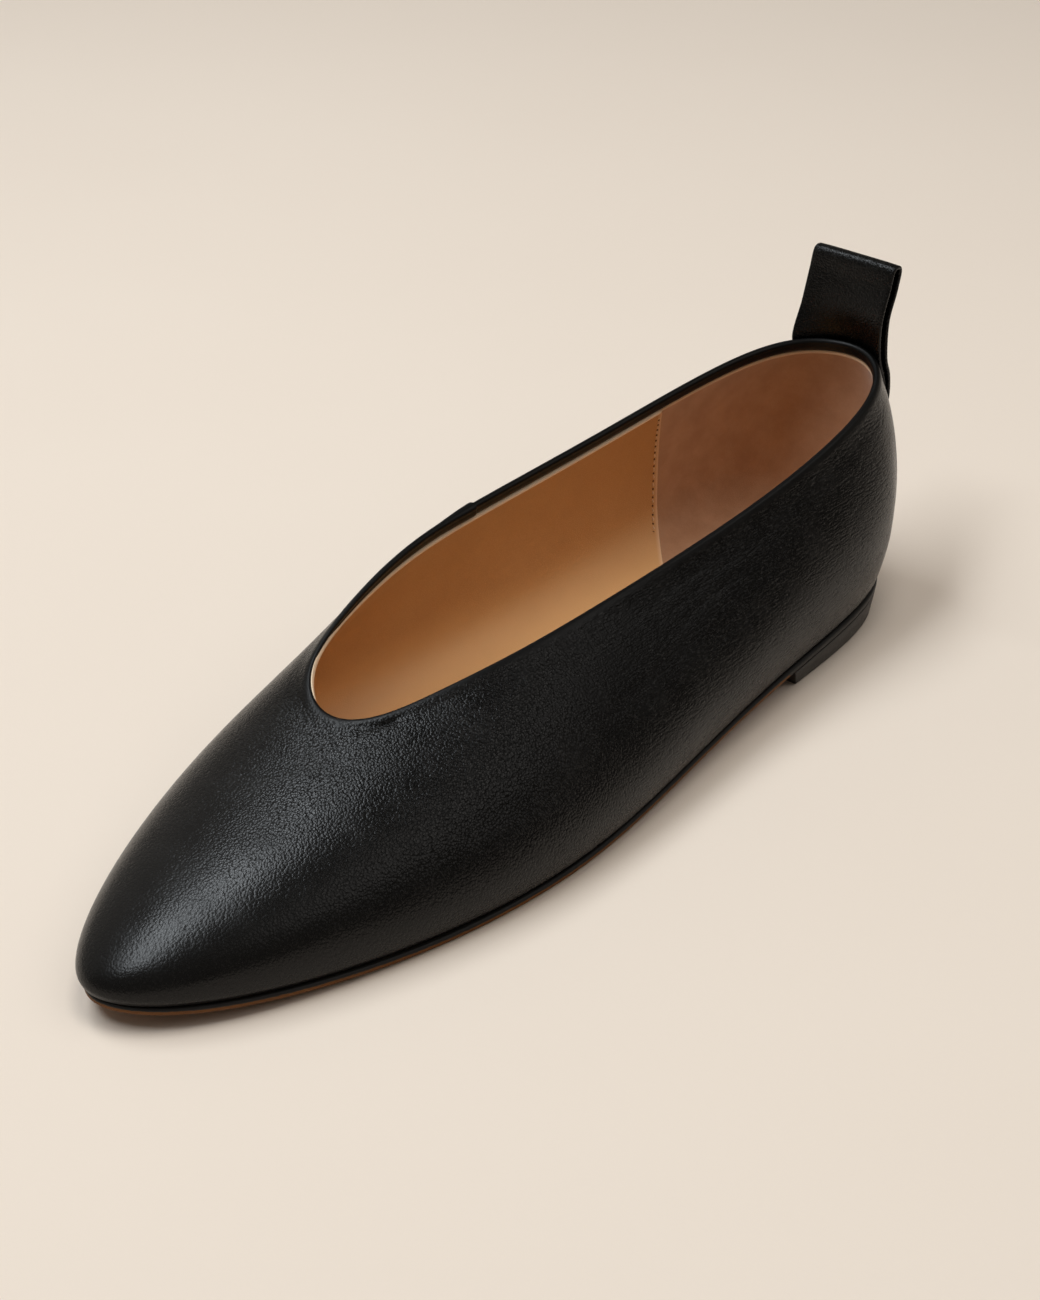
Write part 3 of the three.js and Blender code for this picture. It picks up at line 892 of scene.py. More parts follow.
@dataclass
class Upper:
    """The black leather: front panel, inner quarter and folded topline, as one shell."""

    last: Last
    leather: float = 1.1
    throat: tuple[float, float] = (9.1, 1.9)
    throat_valley: float = 0.16
    seam: float = 13.66
    seam_bow: float = 0.17
    seam_reach: float = 1.3
    seam_raise: float = 0.55
    seam_fade: float = 0.45
    seam_round: float = 0.7
    seam_inside: float = 0.45
    seam_columns: tuple[float, float, int] = (-0.045, 0.015, 13)
    roll: float = 0.45
    flat_band: float = 0.2
    settle: float = 0.06
    turn_back: float = 0.25
    sunk: float = 0.4
    pressed: float = 1.0
    valley: float = 0.1
    valley_drop: float = 4.4
    valley_lift: float = 0.8
    valley_reach: float = 2.2
    lip: float = 0.14
    lip_reach: float = 0.8
    tuck: float = 0.4
    tuck_reach: float = 0.9
    wave: float = 0.035
    waves: tuple[Triple, ...] = ((7.1, 9.0, 0.0), (11.3, -6.1, 1.7))
    calm_top: tuple[float, float] = (3.0, 12.0)
    calm_foot: tuple[float, float] = (2.0, 9.0)
    calm_toe: float = 0.6
    columns: int = 630
    rows: int = 92
    crowding: float = 1.2
    rim_rows: int = 10
    band_rows: int = 10
    hidden_rows: int = 9
    creases: tuple[Crease, ...] = (
        Crease((13.74, 0.93), (14.5, 0.86), 0.9, -0.13, 0.6),
        Crease((13.73, 0.86), (14.62, 0.74), 1.0, -0.15, 0.9),
        Crease((13.74, 0.79), (14.4, 0.66), 0.9, -0.12, 0.8),
        Crease((13.75, 0.7), (14.3, 0.57), 1.1, -0.13, 0.7),
        Crease((13.78, 0.62), (14.15, 0.47), 1.0, -0.1, 0.5),
        Crease((14.1, 0.9), (15.0, 0.88), 1.2, -0.09, 0.5),
        Crease((0.95, 0.3), (0.8, 0.82), 5.0, -0.35, 1.5),
        Crease((1.5, 0.22), (1.45, 0.7), 4.0, -0.25, -1.0),
        Crease((17.2, 0.28), (17.3, 0.85), 5.0, -0.4, 1.5),
        Crease((16.65, 0.3), (16.75, 0.72), 4.5, -0.3, 1.0),
        Crease((16.2, 0.18), (16.1, 0.5), 4.0, -0.2, 0.8),
        Crease((3.3, 0.84), (4.5, 0.8), 1.3, -0.09, 0.8),
        Crease((3.6, 0.77), (4.6, 0.71), 1.4, -0.1, 0.9),
        Crease((3.9, 0.9), (5.1, 0.87), 1.1, -0.08, 0.5),
        Crease((4.3, 0.62), (5.3, 0.57), 2.4, -0.12, 1.2),
        Crease((3.2, 0.55), (4.2, 0.6), 2.6, -0.12, -1.0),
        Crease((5.4, 0.38), (6.6, 0.44), 3.5, -0.12, -1.2),
        Crease((7.2, 0.55), (8.2, 0.62), 3.2, -0.1, 1.0),
        Crease((7.6, 0.966), (8.7, 0.982), 0.75, -0.42, 0.2),
        Crease((7.35, 0.925), (8.5, 0.935), 1.2, 0.07, 0.4),
        Crease((6.6, 0.955), (7.6, 0.962), 0.8, -0.14, 0.2),
    )

    def sections(self) -> Array:
        """Sections of the columns, evenly round the shoe and closer together at the seam."""
        even = np.linspace(0, ROUND, self.columns, endpoint=False)
        close = self.seam + np.linspace(*self.seam_columns)
        return np.sort(np.concatenate([even[(even < close[0]) | (even > close[-1])], close]))

    def bent(self, u: Array, v: Array) -> Array:
        """Sections bent with the closing seam: a squared ramp near it times sin(pi v)."""
        near = np.maximum(0, 1 - np.abs(u - self.seam) / self.seam_reach)
        return u + self.seam_bow * near**2 * np.sin(np.pi * v)

    def pace(self, v: Array) -> Array:
        """Length of a section's width beside the seam, in millimetres."""
        step = 0.1
        near, far = self.last.surface(self.seam, v), self.last.surface(self.seam - step, v)
        return np.linalg.norm(near - far, axis=-1) / step

    def raised(self, u: Array) -> Array:
        """Height of the front panel over the quarter: full at its rounded edge, then fading.

        Args:
            u: sections before bending.

        Returns:
            Heights: zero on the quarter, a quarter circle at the edge and a smooth step down.
        """
        before = self.seam - u
        pace = self.pace(0.5)
        rounded = np.sqrt(1 - (1 - np.clip(before * pace / self.seam_round, 0, 1)) ** 2)
        return self.seam_raise * rounded * (1 - smooth(before, 0, self.seam_fade))

    def relief(self, u: Array, points: Array) -> Array:
        """Soft forms of the outer face, in millimetres out from the last.

        They are the folded edge's lip and the valley under it, which deepens at the throat, the
        tuck at the feather line, the creases, each a bell across its bowed line that fades at its
        ends, and two slow waves, each the sine of around / a + climb / b + c.

        Args:
            u: sections, one column.
            points: the grid of points.

        Returns:
            Heights for the grid.
        """
        climb = walked(points)
        drop = climb[:, -1:] - climb
        throat = bell(u, *self.throat)
        depth = self.valley + (self.throat_valley - self.valley) * throat
        height = -depth * bell(drop, self.valley_drop - self.valley_lift * throat, self.valley_reach)
        height = height + self.lip * (0.5 + 0.5 * throat) * bell(drop, self.lip_reach, self.lip_reach)
        height = height - self.tuck * bell(climb, 0, self.tuck_reach)
        middle = points[:, self.rows // 2]
        stride = np.linalg.norm(np.diff(middle, axis=0, append=middle[:1]), axis=-1)
        around = np.concatenate([[0], np.cumsum(stride)[:-1]])[:, None]
        for crease in self.creases:
            height = height + self.crease_height(crease, u[:, 0], around, climb)
        waves = sum(np.sin(around / a + climb / b + c) for a, b, c in self.waves)
        calm = smooth(drop, *self.calm_top) * smooth(climb, *self.calm_foot)
        return height + self.wave * waves * calm * (1 - self.calm_toe * bell(u, self.last.toe, 2.5))

    @staticmethod
    def crease_height(crease: Crease, u: Array, around: Array, climb: Array) -> Array:
        """Height of one crease over the grid, measured in millimetres round and up the wall.

        Args:
            crease: the crease.
            u: sections of the columns.
            around: distance of each column round the shoe.
            climb: distance of each point from the feather line.

        Returns:
            Heights for the grid.
        """
        ends = []
        for section, share in (crease.start, crease.end):
            column = int(np.argmin(np.abs(u - section)))
            ends.append(np.array([around[column, 0], share * climb[column, -1]]))
        line = ends[1] - ends[0]
        size = float(np.hypot(*line))
        ahead, beside = line / size, np.array([-line[1], line[0]]) / size
        span = around[-1, 0]
        across = (around - ends[0][0] + span / 2) % span - span / 2
        t = (across * ahead[0] + (climb - ends[0][1]) * ahead[1]) / size
        off = across * beside[0] + (climb - ends[0][1]) * beside[1]
        off = off - crease.bow * (1 - (2 * t - 1) ** 2)
        fade = smooth(t, -0.12, 0.25) * (1 - smooth(t, 0.75, 1.12))
        return crease.depth * bell(off, 0, crease.width) * fade

    def face(self, u: Array) -> tuple[Array, Array]:
        """The outer face, and how far it is pressed flat along its two margins.

        Args:
            u: sections, one column.

        Returns:
            Points, and shares from 0 to 1.
        """
        v = 1 - (1 - np.linspace(0, 1, self.rows))[None, :] ** self.crowding
        bent = self.bent(u, v)
        base = self.last.surface(bent, v)
        height = self.relief(u, base) + self.raised(u)
        climb = walked(base)
        pressed = bell(climb[:, -1:] - climb, 0, self.pressed) + bell(climb, 0, self.pressed)
        return base + self.last.normal(bent, v) * height[..., None], pressed

    def rim(self, u: Array) -> Array:
        """The folded rim: half an ellipse as wide as the wall, thinner and lower where it is pared.

        Args:
            u: sections, one column.

        Returns:
            Points from the outer face to the inner.
        """
        last, column = self.last, u[:, 0]
        top, normal = last.surface(column, 1.0), last.normal(column, 1.0)
        width, step = last.folded(u), self.raised(u)[..., None]
        middle, half = (top - normal * width / 2)[:, None], width[..., None] / 2
        high = (last.wall / 2 * (1 - self.sunk * last.pared(u)))[..., None]
        turns = np.pi * np.arange(1, self.rim_rows + 1)[None, :, None] / (self.rim_rows + 1)
        swell = half + step * (np.cos(turns / 2) ** 2 + self.seam_inside * np.sin(turns / 2) ** 2)
        upward = high * unit(last.rise(column))[:, None] * np.sin(turns)
        return middle + upward + swell * normal[:, None] * np.cos(turns)

    def inside(self, u: Array) -> tuple[Array, Array]:
        """The band inside the topline, slightly rolled, and the leather hidden by the lining.

        Args:
            u: sections, one column.

        Returns:
            Points of the band from the top down, and the hidden points below.
        """
        last, band = self.last, self.last.band(u)
        t = np.linspace(0, 1, self.band_rows)[None, :]
        bulge = self.roll * np.clip(band - self.flat_band, 0, 1) * np.sin(np.pi * t)
        roll = last.folded(u) + bulge - self.settle * t + self.seam_inside * self.raised(u)
        depths = np.concatenate([roll, np.full_like(band, self.leather)], 1)
        shares = last.below(u, np.concatenate([band * t, band + self.turn_back], 1))
        seen = last.surface(u, shares) - last.normal(u, shares) * depths[..., None]
        low = np.linspace(1, 0, self.hidden_rows)[None, 1:] * shares[:, -1:]
        return seen, last.surface(u, low) - last.normal(u, low) * self.leather

    def shell(self) -> Piece:
        """The leather as a closed shell.

        Each loop climbs the outer face, goes over the rim, comes down the band inside and turns
        behind the lining back to the feather line.

        Returns:
            The piece.
        """
        u = self.sections()[:, None]
        outer, pressed = self.face(u)
        loops = np.concatenate([outer, self.rim(u), *self.inside(u)], axis=1)
        folded = np.ones((len(u), loops.shape[1] - self.rows))
        stored = {"taut": np.concatenate([pressed, folded], 1)}
        return Piece.lofted("upper_leather", loops, ring=True, stored=stored)

    def build(self, leather: bpy.types.Material) -> None:
        """Builds the shell in its leather."""
        self.shell().build(self.last, leather, "black_leather", "upper")


@dataclass
class Lining:
    """The tan lining inside the wall: a front part and a grip round the heel, with cut edges."""

    last: Last
    thick: float = 0.62
    grip_along: float = 47.5
    lap: float = 1.2
    stand: float = 0.9
    grip_stand: float = 0.5
    tuck: float = 0.15
    edge: float = 0.75
    # The raw colour is the cut edge's own; where the rim is pared beside the throat it runs further down
    # the face, as a painted highlight along the edge.
    raw_edge_highlight_widening: float = 0.4
    raw_fade: tuple[float, float] = (0.8, 1.2)
    past_rim: float = 0.98
    past_fade: float = 3.0
    wall_from: tuple[float, float] = (1.0, 5.0)
    least_back: float = 0.5
    side_cut: float = 0.5
    fillet: float = 9.0
    least_fillet: float = 1.0
    fillet_fade: tuple[float, float] = (150.0, 225.0)
    under_sock: float = 0.1
    seam_between: tuple[tuple[float, float], ...] = ((1.2, 5.0), (16.9, 13.0))
    stitched: tuple[float, float] = (0.92, 0.12)
    shares_ends: tuple[float, float] = (0.03, 0.978)
    edge_rows: int = 7
    edge_crowding: float = 1.6
    rows: int = 80

    def strip(self, name: str, sections: tuple[Array, Array], columns: int, stand: float) -> Piece:
        """A closed strip that lies on the wall's inner face.

        Its loop goes down the seen face and up the back of it, and its ends are pressed flat.

        Args:
            name: the piece's name.
            sections: first and last section, a value for each row.
            columns: how many loops it has.
            stand: how far its face stands in from the wall's.

        Returns:
            The piece.
        """
        last = self.last
        share = np.linspace(0, 1, columns)[:, None]
        u = sections[0][None, :] * (1 - share) + sections[1][None, :] * share
        v = last.below(u, last.band(u) - self.tuck) * self.shares()[None, :]
        point, normal, pared = last.surface(u, v), last.normal(u, v), last.pared(u)
        drop = walked(point)
        past = self.past_rim * pared * (1 - smooth(drop, 0.0, self.past_fade))
        point = point + unit(last.rise(u)) * past[..., None]
        lower = smooth(drop, *self.wall_from)
        depth = last.wall * lower + last.folded(u) * (1 - lower)
        short = 1 - np.clip(drop / self.edge, 0, 1)
        inward = depth + stand * np.sqrt(1 - short**2)
        face = self.filleted(point - normal * inward[..., None], normal)
        back = point - normal * np.maximum(depth - self.thick, self.least_back)[..., None]
        loops = np.concatenate([face, back[:, ::-1]], axis=1)
        loops = np.concatenate([folded_end(loops[0])[None], loops, folded_end(loops[-1])[None]])
        # Painted highlight: the raw colour reaches further down where the rim is pared.
        raw = self.edge * (1 + self.raw_edge_highlight_widening * pared)
        bare = 1 - smooth(drop, *(share * raw for share in self.raw_fade))
        cut = np.concatenate([bare, bare[:, ::-1]], axis=1)
        side = np.full_like(cut[:2], self.side_cut)
        return Piece.lofted(name, loops, stored={"cut": np.concatenate([side, cut[1:-1], side])})

    def shares(self) -> Array:
        """Shares of the height from the top edge down, closest at the sock: 1 - sin(pi t / 2)."""
        low, high = self.shares_ends
        crowded = np.linspace(0, 1, self.edge_rows + 1)[:-1] ** self.edge_crowding
        rest = 1 - np.sin(np.linspace(0, np.pi / 2, self.rows - self.edge_rows))
        return np.append(1 - (1 - high) * crowded, low + (high - low) * rest)

    def filleted(self, face: Array, normal: Array) -> Array:
        """The seen face led over into the sock by a hollow quarter circle, smaller in the toe.

        At a height h over the sock the face moves in level by R - sqrt(R^2 - (R - h)^2).

        Args:
            face: points of the wall's lining.
            normal: outward normals at the points.

        Returns:
            The moved points.
        """
        floor = self.last.seat(face[..., 1]) + Sock.thick
        height = face[..., 2] - floor
        radius = self.least_fillet + self.fillet * (1 - smooth(face[..., 1], *self.fillet_fade))
        rest = radius - np.clip(height, 0, radius)
        moved = face - unit(normal * (1, 1, 0)) * (radius - np.sqrt(radius**2 - rest**2))[..., None]
        moved[..., 2] = np.maximum(moved[..., 2], floor - self.under_sock)
        return moved

    def laid(self, u: Array, v: Array) -> tuple[Array, Array, Array]:
        """Points on the lining's face before and after its fillet, and the outward normals."""
        normal = self.last.normal(u, v)
        plain = self.last.surface(u, v) - normal * (self.last.wall + self.stand)
        return plain, self.filleted(plain, normal), normal

    def seams(self, v: Array, shift: float) -> tuple[Array, Array]:
        """Sections of the grip's outer and inner seam, led forward as the lining moves in.

        Args:
            v: shares of the height.
            shift: how far past the seam, away from the heel, in millimetres.

        Returns:
            A section for each share on both sides.
        """
        sides = []
        for near, far in self.seam_between:
            u = self.last.section_at(self.grip_along + shift, v, near, far)
            plain, moved, _ = self.laid(u, v)
            lead = np.linalg.norm((moved - plain)[:, :2], axis=-1)
            sides.append(self.last.section_at(self.grip_along + shift + lead, v, near, far))
        return sides[0], sides[1]

    def build(self, lining: bpy.types.Material, grip: bpy.types.Material) -> None:
        """Builds both parts.

        Args:
            lining: finish of the front part.
            grip: finish of the heel grip.
        """
        front = self.strip("lining", self.seams(self.shares(), 0.0), 300, self.stand)
        front.build(self.last, lining, "tan_lining")
        outer, inner = self.seams(self.shares(), self.lap)
        back = self.strip("heel_grip", (inner - ROUND, outer), 110, self.grip_stand)
        back.build(self.last, grip, "tan_lining")

    def seam_line(self, off: float, count: int) -> tuple[Array, Array]:
        """Points and outward normals of a stitch line beside each upright seam.

        Args:
            off: distance from the seam, away from the heel.
            count: points a line.

        Returns:
            Points and normals, two lines by count by 3.
        """
        v = np.linspace(*self.stitched, count)
        _, face, outward = self.laid(np.stack(self.seams(v, off)), v)
        return face, -outward


@dataclass
class Plate:
    """A plate that follows the feather line: rungs from the outer edge to the inner edge."""

    last: Last
    rungs: int = 150
    across: int = 14
    trim: float = 0.0
    trimmed: tuple[float, float] = (10.2, 1.6)

    def loops(
        self,
        rows: Array,
        heights: list[Callable[[Array], Array]],
        ends: tuple[Array, Array] | None = None,
    ) -> Array:
        """Closed loops round the plate, one for each rung.

        A loop goes in across the top, down the inner edge, out across the bottom and up the outer
        edge. Each edge row moves the feather line out in plan.

        Args:
            rows: how far out each row of the edge stands, from the top to the bottom.
            heights: functions of along, one for each row.
            ends: sections at which each row ends on the outer and the inner side.

        Returns:
            Rungs by points by 3.
        """
        if ends is None:
            share = (1 - np.cos(np.linspace(0, np.pi, self.rungs))) / 2
            ends = (np.full(len(rows), self.last.toe),) * 2
        else:
            share = np.sin(np.linspace(0, np.pi / 2, self.rungs))
        sides = []
        for start, end in zip((0, ROUND), ends):
            u = start + share[:, None] * (end - start)
            side = self.last.edge(u, rows[None, :] - self.trim * bell(u, *self.trimmed))
            side[..., 2] = np.stack([height(side[:, k, 1]) for k, height in enumerate(heights)], 1)
            sides.append(side)
        outer, inner = sides
        k = np.linspace(0, 1, self.across + 2)[1:-1][None, :, None]
        faces = []
        for row, way in ((0, 1), (-1, -1)):
            spread = outer[:, row, None] * (1 - k) + inner[:, row, None] * k
            spread[..., 2] = heights[row](spread[..., 1])
            faces.append(spread[:, ::way])
        return np.concatenate([faces[0], inner, faces[1], outer[:, ::-1]], axis=1)


@dataclass
class Outsole:
    """Thin leather sole with a rounded side: black over the heel, and black above tan in front."""

    last: Last
    widest: ClassVar[float] = 0.4
    trim: float = 1.9
    heel_front: tuple[float, float] = (60.0, 66.0)
    rows: tuple[tuple[float, float, float, float], ...] = (
        (-0.9, 0.0, 1, 1),
        (-0.2, 0.02, 1, 1),
        (0.1, 0.1, 1, 1),
        (0.3, 0.2, 1, 0.9),
        (0.37, 0.32, 1, 0.6),
        (0.4, 0.44, 1, 0.38),
        (0.4, 0.6, 1, 0.34),
        (0.33, 0.77, 1, 0.3),
        (0.1, 0.91, 0.5, 0.2),
        (-0.3, 0.98, 0, 0),
        (-1.2, 1.0, 0, 0),
    )

    def build(self, leather: bpy.types.Material) -> None:
        """Builds the sole from its edge rows.

        A row says how far out it stands and its share of the way down, and how far it is painted
        over the heel and in front of it.

        Args:
            leather: its finish.
        """
        last, plate = self.last, Plate(self.last, trim=self.trim)
        out, down, *painted = np.array(self.rows, float).T
        heights = [lambda along, d=d: last.underside(along) + last.sole * (1 - d) for d in down]
        loops = plate.loops(out, heights)
        flat = np.ones(plate.across)
        over, ahead = (np.concatenate([flat, side, 0 * flat, side[::-1]]) for side in painted)
        front = smooth(loops[..., 1], *self.heel_front)
        stored = {"painted": over * (1 - front) + ahead * front}
        Piece.lofted("sole", loops, stored=stored).build(last, leather, "tan_sole", "outsole")


@dataclass
class Sock:
    """Insole board under its tan sock leather, a little dished towards its middle."""

    last: Last
    inset: float = 2.1
    thick: float = 2.4
    dish: float = 0.5
    dish_rungs: int = 20
    rows: tuple[tuple[float, float], ...] = (
        *((-1.0, 2.4), (-0.4, 2.35), (-0.1, 2.2)),
        *((0.0, 1.9), (0.0, 0.2), (-0.2, 0.0)),
    )

    def build(self, leather: bpy.types.Material) -> None:
        """Builds the insole from its edge rows, out and height over the sole.

        Args:
            leather: its finish.
        """
        last, plate = self.last, Plate(self.last, rungs=130, across=24)
        out, up = np.array(self.rows).T
        heights = [lambda along, h=h: last.seat(along) + h for h in up]
        loops = plate.loops(out - self.inset, heights)
        span = np.sin(np.pi * np.linspace(0, 1, plate.across + 2)[1:-1])
        fade = smooth(np.arange(plate.rungs), 0, self.dish_rungs)[:, None]
        loops[:, : plate.across, 2] -= self.dish * span * fade
        Piece.lofted("sock", loops).build(last, leather, "tan_lining", "insole")


@dataclass
class HeelBlock:
    """Low heel block under the sole, flush with its side, with a nearly upright breast."""

    last: Last
    breast_top: float = 61.5
    breast_foot: float = 59.0
    seat: float = 0.05
    breast_step: float = 0.04
    search: tuple[float, float] = (0.2, 3.0)
    rows: tuple[tuple[float, float], ...] = (
        *((-0.2, 0.0), (0.16, 0.03), (0.2, 0.1)),
        *((-0.68, 0.9), (-0.95, 0.97), (-1.4, 1.0)),
    )

    def reach(self, along: Array, out: Array) -> tuple[Array, Array]:
        """Sections at which each edge row reaches the breast, on both sides.

        Args:
            along: the breast's distance from the heel for each row.
            out: how far out each row stands.

        Returns:
            Outer and inner sections.
        """
        sides = []
        start, short = self.search
        for near, far in ((start, self.last.toe - short), (ROUND - start, self.last.toe + short)):
            u = np.linspace(near, far, SAMPLES)
            sides.append(reached(along, self.last.edge(u[None, :], out[:, None])[..., 1], u))
        return sides[0], sides[1]

    def build(self, finish: bpy.types.Material) -> None:
        """Builds the block from its edge rows, out and share of the way down, closed at the breast.

        Args:
            finish: its finish.
        """
        last, plate = self.last, Plate(self.last, rungs=60, across=10)
        out, down = np.array(self.rows, float).T
        breast = self.breast_top + (self.breast_foot - self.breast_top) * down
        heights = [lambda along, d=d: (last.underside(along) - self.seat) * (1 - d) for d in down]
        loops = plate.loops(out, heights, self.reach(breast, out))
        closed = np.repeat(loops[-1].mean(0)[None], loops.shape[1], 0)
        inner = loops[-1] + self.breast_step * (closed - loops[-1])
        loops = np.concatenate([loops, inner[None], closed[None]])
        Piece.lofted("heel_block", loops, crease_angle=35).build(last, finish, "black_heel", "heel")


@dataclass
class PullTab:
    """Leather strap folded over itself, its two ends sewn one over the other on the heel."""

    last: Last
    width: float = 23.0
    leather: float = 1.2
    clear: float = 0.3
    lap: float = 0.3
    room: float = 2.2
    top: float = 83.5
    fold_along: float = -1.8
    lean: float = 0.14
    cup: float = 3.4
    hug: float = 0.94
    outer_end: float = 44.0
    inner_end: float = 51.0
    leaves: float = 59.0
    search: float = 1.8
    bridge: float = 0.6
    settle: float = 3.0
    ease: float = 0.1
    necks: tuple[float, float] = (4.0, 12.0)
    back: float = 0.8
    front: float = 1.1
    pillow: float = 0.12
    rounding: tuple[float, float] = (0.8, 0.7)
    noses: tuple[float, float] = (0.2, 0.15)
    stitched: float = 0.86
    stitch_up: float = 2.4
    stitch_clear: float = 0.1
    across: int = 22
    steps: int = 170

    def heel_place(self, side: Array, height: float) -> tuple[Array, Array]:
        """Sections and heights of the last at places beside the middle of the heel.

        Two nested bisections find where the wall lies that far across and that high up.

        Args:
            side: distances across.
            height: the height.

        Returns:
            u and v for each distance.
        """

        def under(v: Array) -> Array:
            """Whether the wall at v lies below the height."""
            return self.last.surface(self.section_across(side, v), v)[..., 2] < height

        v = bisected(under, np.zeros_like(side), np.ones_like(side))[0]
        return self.section_across(side, v), v

    def section_across(self, side: Array, v: Array) -> Array:
        """Sections at which rows of the wall lie at distances across, by bisection."""
        ends = np.full_like(side, -self.search), np.full_like(side, self.search)
        low, high = bisected(lambda u: self.last.surface(u, v)[..., 0] < side, *ends)
        return (low + high) / 2

    def on_heel(self, side: Array, height: float, lift: float) -> Array:
        """Points that stand a lift off the heel at a height."""
        u, v = self.heel_place(side * self.width * self.hug / 2, height)
        return self.last.surface(u, v) + self.last.normal(u, v) * lift

    def route(self, side: Array) -> Array:
        """Middle of the leather on lengthwise lines, from the outer end over the fold to the inner.

        Args:
            side: places across the tab, from -1 to 1.

        Returns:
            Lines by 13 points by 3.
        """
        under = self.clear + self.leather / 2
        over = under + self.lap + self.leather
        lean = unit(np.array([0.0, -self.lean, 1.0]))
        forward = unit(np.array([0.0, 1.0, self.lean]))
        radius = (self.room + self.leather) / 2
        peak = self.top - radius - self.leather / 2
        level = np.full_like(side, self.fold_along), np.full_like(side, peak)
        fold = np.stack([side * self.width / 2, *level], -1)

        def beside(down: float, ahead: float) -> Array:
            """Places under the fold: down against the lean, and ahead with the fading cup."""
            cup = self.cup * side**2 * max(0.0, down) / (self.top - self.leaves)
            return fold - lean * down + forward * (ahead + cup)[:, None]

        corner = radius * math.sqrt(0.5)
        near_end = self.outer_end + self.bridge * (self.inner_end - self.outer_end)
        neck, low_neck = self.necks
        outer = [
            self.on_heel(side, self.outer_end, under),
            self.on_heel(side, near_end, under + self.bridge * (over - under)),
            self.on_heel(side, self.inner_end + self.settle, over),
            self.on_heel(side, self.leaves, over + self.ease),
        ]
        fold_over = [
            beside(low_neck, -radius * self.back),
            beside(neck, -radius),
            beside(-corner, -corner),
            beside(-corner, corner),
            beside(neck, radius),
            beside(low_neck, radius * self.front),
        ]
        inner = [
            self.on_heel(side, self.leaves + 1, under + self.ease),
            self.on_heel(side, self.inner_end + self.settle, under),
            self.on_heel(side, self.inner_end, under),
        ]
        return np.stack(outer + fold_over + inner, 1)

    def carried(self, route: Array) -> Array:
        """Smooth lines through a route: one cubic a span with centripetal Catmull-Rom slopes.

        The slope at a point weighs the two chords beside it by the square roots of their lengths.

        Args:
            route: lines by points by 3.

        Returns:
            Lines by steps by 3.
        """
        chords = np.diff(route, axis=1)
        pace = np.sqrt(np.linalg.norm(chords.mean(0), axis=-1))[None, :, None]
        rate = chords / pace
        inner = (rate[:, :-1] * pace[:, 1:] + rate[:, 1:] * pace[:, :-1]) / (pace[:, 1:] + pace[:, :-1])
        slope = np.concatenate([rate[:, :1], inner, rate[:, -1:]], 1)
        knots = np.concatenate([[0], np.cumsum(pace.ravel())])
        t = np.linspace(0, knots[-1], self.steps)
        cell = np.clip(np.searchsorted(knots, t, side="right") - 1, 0, len(knots) - 2)
        span = np.diff(knots)[cell]
        s = ((t - knots[cell]) / span)[None, :, None]
        a, b = route[:, cell], route[:, cell + 1]
        m, n = slope[:, cell] * span[None, :, None], slope[:, cell + 1] * span[None, :, None]
        start = (2 * s**3 - 3 * s**2 + 1) * a + (s**3 - 2 * s**2 + s) * m
        return start + (3 * s**2 - 2 * s**3) * b + (s**3 - s**2) * n

    def build(self, leather: bpy.types.Material) -> None:
        """Builds the strap: a flat section with rounded edges, carried along the route.

        Args:
            leather: its finish.
        """
        side = np.linspace(-1, 1, self.across)
        middle = self.carried(self.route(side))
        ahead = np.gradient(middle, axis=1)
        beside = np.gradient(middle, axis=0)
        normal = unit(np.cross(beside, ahead))
        beside = unit(beside)
        half = self.leather / 2
        turn = np.linspace(0, np.pi, 7)[1:-1, None, None]
        pillow = self.pillow * (1 - side**4)[:, None, None]
        faces = [middle + way * normal * (half - self.pillow + pillow) for way in (1, -1)]
        rims = []
        high, wide = self.rounding
        for k, way in ((-1, 1), (0, -1)):
            over, out = np.cos(turn) * normal[k] * high * way, np.sin(turn) * beside[k] * way * wide
            rims.append(middle[k] + half * (over + out))
        loops = np.concatenate([faces[0], rims[0], faces[1][::-1], rims[1]], axis=0).transpose(1, 0, 2)
        ends = []
        for k, way in ((0, -1), (-1, 1)):
            nose = unit(ahead[:, k]).mean(0) * way
            closed = folded_strip(loops[k], self.across, len(turn))
            tips = [closed, loops[k] * 0.5 + closed * 0.5]
            ends.append(np.stack([tip + nose * size for tip, size in zip(tips, self.noses)]))
        loops = np.concatenate([ends[0], loops, ends[1][::-1]])
        piece = Piece.lofted("tab", loops, crease_angle=50)
        piece.build(self.last, leather, "black_leather", "pull_tab")

    def stitch_line(self, count: int) -> tuple[Array, Array]:
        """Points and normals of the stitch row across the tab above its outer end.

        Args:
            count: points of the row.

        Returns:
            Points and normals, one line by count by 3.
        """
        side = np.linspace(-self.stitched, self.stitched, count)
        u, v = self.heel_place(side * self.width * self.hug / 2, self.outer_end + self.stitch_up)
        normal = self.last.normal(u, v)
        lift = self.clear + self.leather + self.stitch_clear
        return (self.last.surface(u, v) + normal * lift)[None], normal[None]


def folded_strip(loop: Array, across: int, rim: int) -> Array:
    """A strap's loop pressed flat: each point of one face meets its partner on the other.

    Args:
        loop: face, edge, other face and other edge.
        across: points of a face.
        rim: points of an edge.

    Returns:
        The flattened loop, of the same shape.
    """
    face, edge = loop[:across], loop[across : across + rim]
    other, last_edge = loop[across + rim : 2 * across + rim], loop[2 * across + rim :]
    middle = (face + other[::-1]) / 2
    tips = [(part + part[::-1]) / 2 for part in (edge, last_edge)]
    return np.concatenate([middle, tips[0], middle[::-1], tips[1]])


